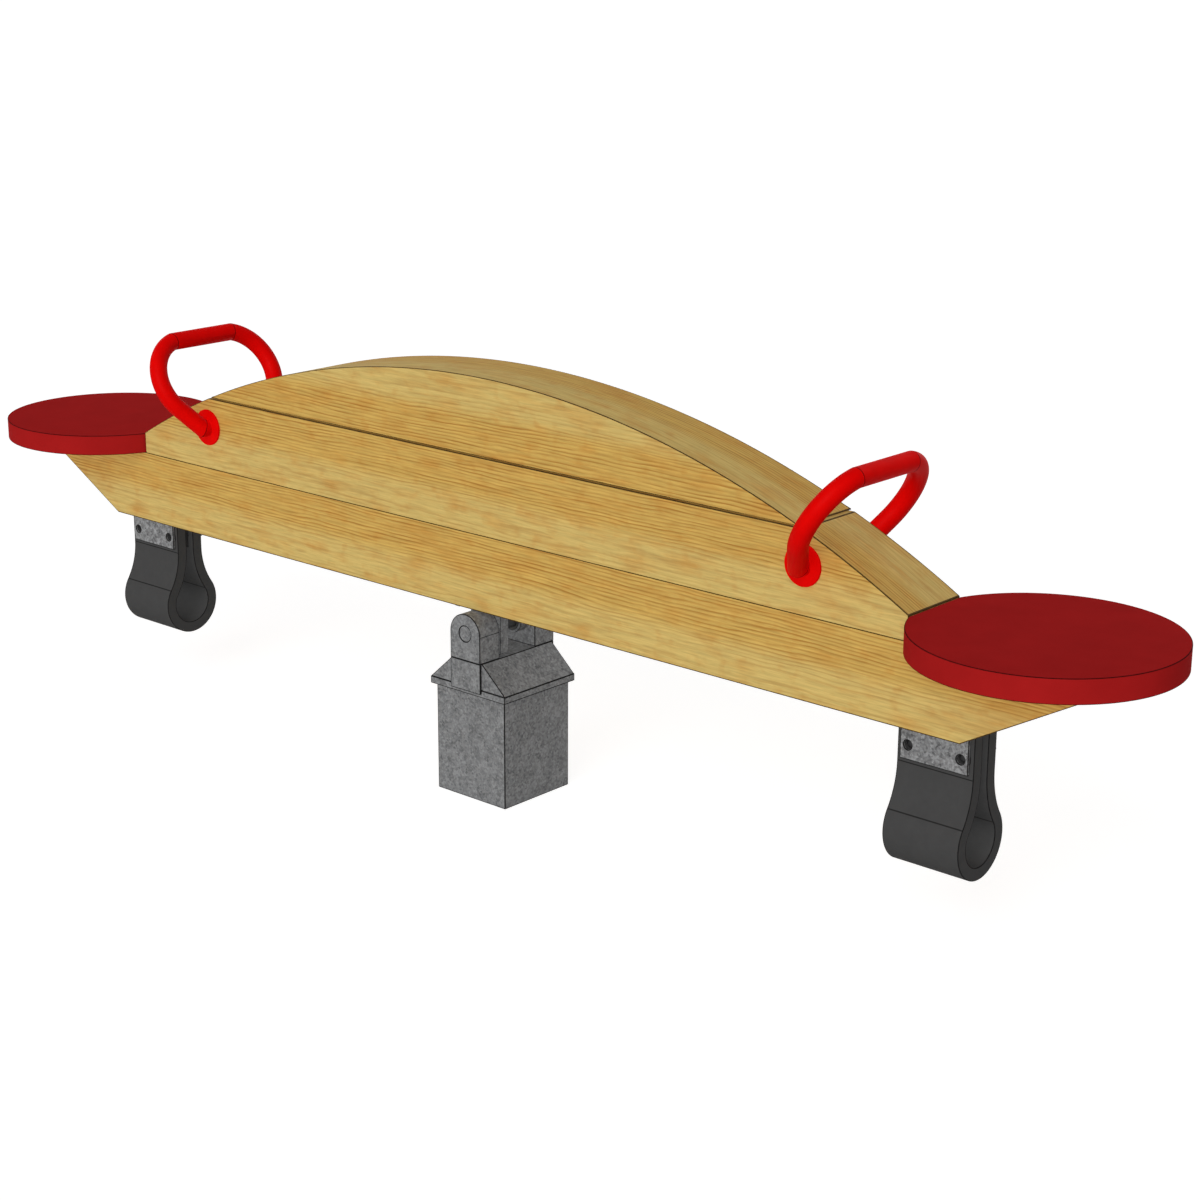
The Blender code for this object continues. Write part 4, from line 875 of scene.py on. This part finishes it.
def make_fork(zinc, arris):
    for face in FACES:
        make_ear(face, (zinc, arris))
        low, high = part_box(f"{face}_ear_strap")
        bm = bmesh.new()
        add_prism(bm, rectangle(low.x, high.x, low.z, high.z), "Y", low.y, high.y)
        strap = make_object(f"{face}_ear_strap_flat", bm, (zinc, arris))
        line_edges(strap, METAL_LINE)
        ease_edges(strap, METAL_ARRIS)
        settle(strap, "post", "galvanised", f"{face}_ear_strap")
    make_pin()


def front_lug_outline(top):
    """As wide as the ears, and square down to just above the cap, with room to swing."""
    bottom = PIN_HEIGHT - LUG_DROP
    centre = (EAR_RADIUS - LUG_CORNER, bottom + LUG_CORNER)
    corner = [(centre[0] + LUG_CORNER * cos(a), centre[1] + LUG_CORNER * sin(a))
              for a in spread(-pi / 2, 0, LUG_CORNER_STEPS)]
    half = corner + [(EAR_RADIUS, PIN_HEIGHT - TANGENT_LINE), (EAR_RADIUS, PIN_HEIGHT), (EAR_RADIUS, top)]
    return half + [(-x, z) for x, z in reversed(half)]


def rear_lug_outline(top):
    """Narrow, with its round end below the pin."""
    arc = [(REAR_LUG_RADIUS * cos(a), PIN_HEIGHT + REAR_LUG_RADIUS * sin(a))
           for a in spread(-pi, 0, EAR_STEPS)]
    return arc + [(REAR_LUG_RADIUS, top), (-REAR_LUG_RADIUS, top)]


def make_hanger(zinc, arris):
    """The saddle plate under the beam, and its two lugs."""
    low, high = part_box("pivot_hanger")
    plate_bottom = high.z - HANGER_PLATE
    bm = bmesh.new()
    add_prism(bm, rectangle(low.y, high.y, plate_bottom, high.z), "X", low.x, high.x)
    plate = make_object("pivot_hanger_saddle", bm, (zinc, arris))
    screws = [f"hanger_screw_{n}" for n in (1, 2, 3, 4)]
    cut_away(plate, screw_bores(screws, HANGER_HOLE_RADIUS,
                                plate_bottom - CUT_MARGIN, high.z + CUT_MARGIN))
    line_edges(plate, METAL_LINE)
    ease_edges(plate, METAL_ARRIS)
    settle(plate, "rocker", "galvanised", "pivot_hanger")
    lugs = (("front", low.y, front_lug_outline(plate_bottom)),
            ("rear", high.y - LUG_THICKNESS, rear_lug_outline(plate_bottom)))
    for face, start, outline in lugs:
        bm = bmesh.new()
        add_prism(bm, outline, "Y", start, start + LUG_THICKNESS)
        lug = make_object(f"pivot_hanger_{face}_lug", bm, (zinc, arris))
        bore_out(lug, LUG_BORE_RADIUS, start, start + LUG_THICKNESS)
        line_edges(lug, METAL_LINE / 2)
        ease_edges(lug, METAL_ARRIS)
        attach(lug, "rocker")


# Dampers

def strap_half_line():
    """The middle of the strap from its top end down to the loop's lowest point, as distance
    from the centre plane, height, and the angle that its outer face looks up by. The neck's
    arc runs straight over into the loop's."""
    seam = LOOP_SEAM_ANGLE
    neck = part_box("left_front_damper_plate")[0].z - NECK_DROP
    loop = neck - (NECK_RADIUS + LOOP_RADIUS) * sin(seam)
    line = [(LEG_CENTRE, BEAM_BOTTOM - FACE_GAP, 0.0)]
    line += [(LEG_CENTRE + NECK_RADIUS * (1 - cos(a)), neck - NECK_RADIUS * sin(a), a)
             for a in spread(0, seam, NECK_STEPS)]
    line += [(LOOP_RADIUS * cos(a), loop + LOOP_RADIUS * sin(a), a)
             for a in spread(seam, -pi / 2, LOOP_STEPS)[1:]]
    return line, loop


def bolt_centres(side):
    """Where a damper's two bolts pass, along the beam and in height."""
    bolts = [middle_of(f"{side}_damper_bolt_{n}") for n in (1, 2)]
    return [(bolt[0], bolt[2]) for bolt in bolts]


def make_strap(side, line, finishes):
    half = STRAP_THICKNESS / 2
    outer = [(y + cos(a) * half, z + sin(a) * half) for y, z, a in line]
    inner = [(y - cos(a) * half, z - sin(a) * half) for y, z, a in line]
    outer_whole = outer + [(-y, z) for y, z in reversed(outer[:-1])]
    inner_whole = inner + [(-y, z) for y, z in reversed(inner[:-1])]
    outline = outer_whole + list(reversed(inner_whole))
    low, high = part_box(f"{side}_damper_strap")
    bm = bmesh.new()
    add_prism(bm, outline, "X", low.x, high.x)
    strap = make_object(f"{side}_damper_strap_moulded", bm, finishes)
    holes = bmesh.new()
    pocket_end = -STRAP_INNER - FACE_GAP
    profile = ((NUT_POCKET_RADIUS, -HOLE_REACH), (NUT_POCKET_RADIUS, pocket_end),
               (PLATE_HOLE_RADIUS, pocket_end), (PLATE_HOLE_RADIUS, HOLE_REACH))
    for centre in bolt_centres(side):
        add_lathe(holes, "Y", centre, profile, SCREW_BORE_SIDES)
    cut_away(strap, holes)
    line_edges(strap, RUBBER_LINE)
    ease_edges(strap, RUBBER_ARRIS)
    settle(strap, "rocker", "rubber", f"{side}_damper_strap")


def plate_holes(centres, low, high):
    bm = bmesh.new()
    for centre in centres:
        add_prism(bm, circle(PLATE_HOLE_RADIUS, HOLE_SIDES, centre), "Y",
                  low - CUT_MARGIN, high + CUT_MARGIN)
    return bm


def make_clamp_plates(side, finishes, black_paint_and_bore_shade):
    centres = bolt_centres(side)
    for face in FACES:
        low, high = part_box(f"{side}_{face}_damper_plate")
        plate_low = low.y
        plate_high = low.y + PLATE_THICKNESS
        bm = bmesh.new()
        add_prism(bm, rectangle(low.x, high.x, low.z, high.z), "Y", plate_low, plate_high)
        plate = make_object(f"{side}_{face}_damper_plate_cut", bm, finishes)
        cut_away(plate, plate_holes(centres, plate_low, plate_high))
        line_edges(plate, METAL_LINE)
        ease_edges(plate, METAL_ARRIS)
        settle(plate, "rocker", "galvanised", f"{side}_{face}_damper_plate")
        if face == "front":
            # the weld nuts take the dark finish as painted shade, darkening the bores seen through the
            # front plate's holes
            nuts = bmesh.new()
            for centre in centres:
                add_prism(nuts, circle(NUT_RADIUS, HEXAGON, centre), "Y",
                          plate_high, plate_high + NUT_HEIGHT)
            weld_nuts = make_object(f"{side}_damper_weld_nuts", nuts, (black_paint_and_bore_shade,))
            cut_away(weld_nuts, plate_holes(centres, plate_high, plate_high + NUT_HEIGHT))
            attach(weld_nuts, "rocker")


def make_dampers(plate_finishes, black_paint_and_bore_shade):
    line, loop = strap_half_line()
    half = STRAP_THICKNESS / 2
    outer_seam = loop + (LOOP_RADIUS + half) * sin(LOOP_SEAM_ANGLE)
    inner_seam = loop + (LOOP_RADIUS - half) * sin(LOOP_SEAM_ANGLE)
    rubber = moulded_rubber("RubberMouldedBlack", "414141", "444444", (line[1][1], outer_seam), inner_seam)
    edge = mottled("RubberMouldedEdge", "161616", "202020", GRIME_BLOTCH, **RUBBER_SURFACE)[0]
    for side in SIDES:
        make_strap(side, line, (rubber, edge))
        make_clamp_plates(side, plate_finishes, black_paint_and_bore_shade)


# Solids that keep their shape

def dress_solid(name, finish, arris, width):
    """Gives a solid its finish, and eased edges of the given width where they can show."""
    solid = NODES[name]
    solid.data.materials.clear()
    solid.data.materials.append(finish)
    solid.data.materials.append(arris)
    if width:
        joined = solid.modifiers.new("joined_corners", "WELD")
        joined.merge_threshold = 10 * SAME_POINT
        ease_edges(solid, width)


def dress_solids(arris, plated, black_paint_and_bore_shade):
    # moulded nylon is pale; grease and metal dust from the pin turn it near black
    nylon = mottled("NylonGreasedDark", "2E2E2C", "383836", GREASE_BLOTCH, **NYLON_SURFACE)[0]
    bolt = plated_bolt("SteelZincPlatedShadedThread")
    for side in SIDES:
        dress_solid(f"{side}_damper_hanger", black_paint_and_bore_shade, arris, METAL_LINE)
        dress_solid(f"{side}_handle_tie_rod", plated, arris, 0)
        for row in ("inner", "outer"):
            dress_solid(f"{side}_{row}_seat_screw", plated, arris, SCREW_ARRIS)
        for n in (1, 2, 3, 4):
            dress_solid(f"{side}_damper_hanger_screw_{n}", plated, arris, 0)
        for n in (1, 2):
            dress_solid(f"{side}_damper_bolt_{n}", bolt, arris, BOLT_ARRIS)
    for face in FACES:
        dress_solid(f"{face}_pivot_bush", nylon, arris, 0)
    for n in (1, 2, 3, 4):
        dress_solid(f"hanger_screw_{n}", plated, arris, SCREW_ARRIS)
    for row in ("inner", "middle", "outer"):
        for n in (1, 2):
            dress_solid(f"{row}_tie_screw_{n}", plated, arris, SCREW_ARRIS)
    dress_solid("pin_grub_screw", plated, arris, 0)


# Stage, light and camera

FLOOR_REACH = 40
FLOOR_SEGMENTS = 8
WORLD_STRENGTH = 0.22
FLOOR_LIFT = 0.50
KEY_FROM = (0.26, -0.82, 0.51)
KEY_STRENGTH = 0.45
FILL_STRENGTH = 2.00
BACK_FROM = (0.0, 0.95, 0.30)
BACK_STRENGTH = 0.40
LIGHT_SOFTNESS = radians(35)
CAMERA_TARGET = Vector((0.16678, 0.0, 0.28816))
CAMERA_DISTANCE = 2.93854
CAMERA_AZIMUTH = radians(41.373)
CAMERA_ELEVATION = radians(16.821)
CAMERA_ROLL = radians(0.300)
CAMERA_LENS = 71.544
SENSOR = 36.0


def seen_directly(tree):
    """1 for camera, glossy and transmission rays, which see the background."""
    path = add(tree, "ShaderNodeLightPath")
    seen = add(tree, "ShaderNodeMath",
               {0: path.outputs["Is Camera Ray"], 1: path.outputs["Is Glossy Ray"]},
               operation="MAXIMUM")
    seen = add(tree, "ShaderNodeMath", {0: seen.outputs[0], 1: path.outputs["Is Transmission Ray"]},
               operation="MAXIMUM")
    return seen.outputs[0]


def make_stage():
    world = bpy.data.worlds.new("StudioWhite")
    world.use_nodes = True
    tree = world.node_tree
    background = tree.nodes["Background"]
    background.inputs["Color"].default_value = (1, 1, 1, 1)
    strength = add(tree, "ShaderNodeMapRange", {0: seen_directly(tree), 3: WORLD_STRENGTH, 4: 1.0})
    tree.links.new(strength.outputs[0], background.inputs["Strength"])
    SCENE.world = world

    floor_paint = bpy.data.materials.new("StudioFloorWhite")
    floor_paint.use_nodes = True
    tree = floor_paint.node_tree
    tree.nodes.clear()
    matt = add(tree, "ShaderNodeBsdfDiffuse", {"Color": colour("EBEBEB")})
    lift = add(tree, "ShaderNodeMath", {0: seen_directly(tree), 1: FLOOR_LIFT}, operation="MULTIPLY")
    glow = add(tree, "ShaderNodeEmission", {"Color": (1, 1, 1, 1), "Strength": lift.outputs[0]})
    both = add(tree, "ShaderNodeAddShader", {0: matt.outputs[0], 1: glow.outputs[0]})
    add(tree, "ShaderNodeOutputMaterial", {"Surface": both.outputs[0]})
    bm = bmesh.new()
    bmesh.ops.create_grid(bm, x_segments=FLOOR_SEGMENTS, y_segments=FLOOR_SEGMENTS, size=FLOOR_REACH)
    floor = make_object("studio_floor", bm, (floor_paint,))


def make_lights():
    """A soft key light, and fill light that reaches recesses, because it casts no shadow."""
    lamps = (("key_light", KEY_FROM, KEY_STRENGTH, True), ("fill_light", KEY_FROM, FILL_STRENGTH, False),
             ("back_light", BACK_FROM, BACK_STRENGTH, False))
    for name, place, strength, shadow in lamps:
        lamp = bpy.data.objects.new(name, bpy.data.lights.new(name, "SUN"))
        lamp.data.energy = strength
        lamp.data.angle = LIGHT_SOFTNESS
        lamp.data.use_shadow = shadow
        lamp.rotation_mode = "QUATERNION"
        lamp.rotation_quaternion = Vector(place).to_track_quat("Z", "Y")
        SCENE.collection.objects.link(lamp)


def make_camera():
    back = Vector((sin(CAMERA_AZIMUTH) * cos(CAMERA_ELEVATION),
                   -cos(CAMERA_AZIMUTH) * cos(CAMERA_ELEVATION), sin(CAMERA_ELEVATION)))
    right = Vector((cos(CAMERA_AZIMUTH), sin(CAMERA_AZIMUTH), 0))
    up = back.cross(right)
    rolled_right = cos(CAMERA_ROLL) * right + sin(CAMERA_ROLL) * up
    rolled_up = cos(CAMERA_ROLL) * up - sin(CAMERA_ROLL) * right
    axes = Matrix((rolled_right, rolled_up, back)).transposed().to_4x4()
    camera = bpy.data.objects.new("camera", bpy.data.cameras.new("camera"))
    camera.data.sensor_width = SENSOR
    camera.data.lens = CAMERA_LENS
    camera.matrix_world = Matrix.Translation(CAMERA_TARGET + CAMERA_DISTANCE * back) @ axes
    SCENE.collection.objects.link(camera)
    SCENE.camera = camera


def build():
    SCENE.view_settings.view_transform = "Standard"
    make_stage()
    make_lights()
    make_camera()
    zinc = hot_dip_zinc("SteelHotDipGalvanised", "4E4F50", "868788", ZINC_CONTRAST)
    plate_zinc = hot_dip_zinc("PlateHotDipGalvanised", "434344", "969798", ZINC_CONTRAST)
    # zinc runs thin on the arrises, and weathers and holds grime there
    arris = mottled("SteelGalvanisedArris", "1C1C1C", "282828", WORN_BLOTCH, **GRIME_SURFACE)[0]
    # electroplated zinc is thin, even and bright, and dulls to a satin grey
    plated = mottled("SteelZincPlated", "787A7C", "8A8C8E", PLATING_BLOTCH, **PLATED_SURFACE)[0]
    make_timbers()
    make_seats()
    make_handles()
    make_post(zinc, arris)
    make_cap(zinc, arris)
    make_fork(zinc, arris)
    make_hanger(zinc, arris)
    # brushed black paint on the damper hangers has weathered to a flat dark grey, close to the rubber's;
    # on the weld nuts the same dark is painted shade in the bores behind the front plates' holes
    black_paint_and_bore_shade = mottled("SteelPaintedBlackAndBoreShade", "313131", "373737", GRIME_BLOTCH, **RUBBER_SURFACE)[0]
    make_dampers((plate_zinc, arris), black_paint_and_bore_shade)
    dress_solids(arris, plated, black_paint_and_bore_shade)


build()
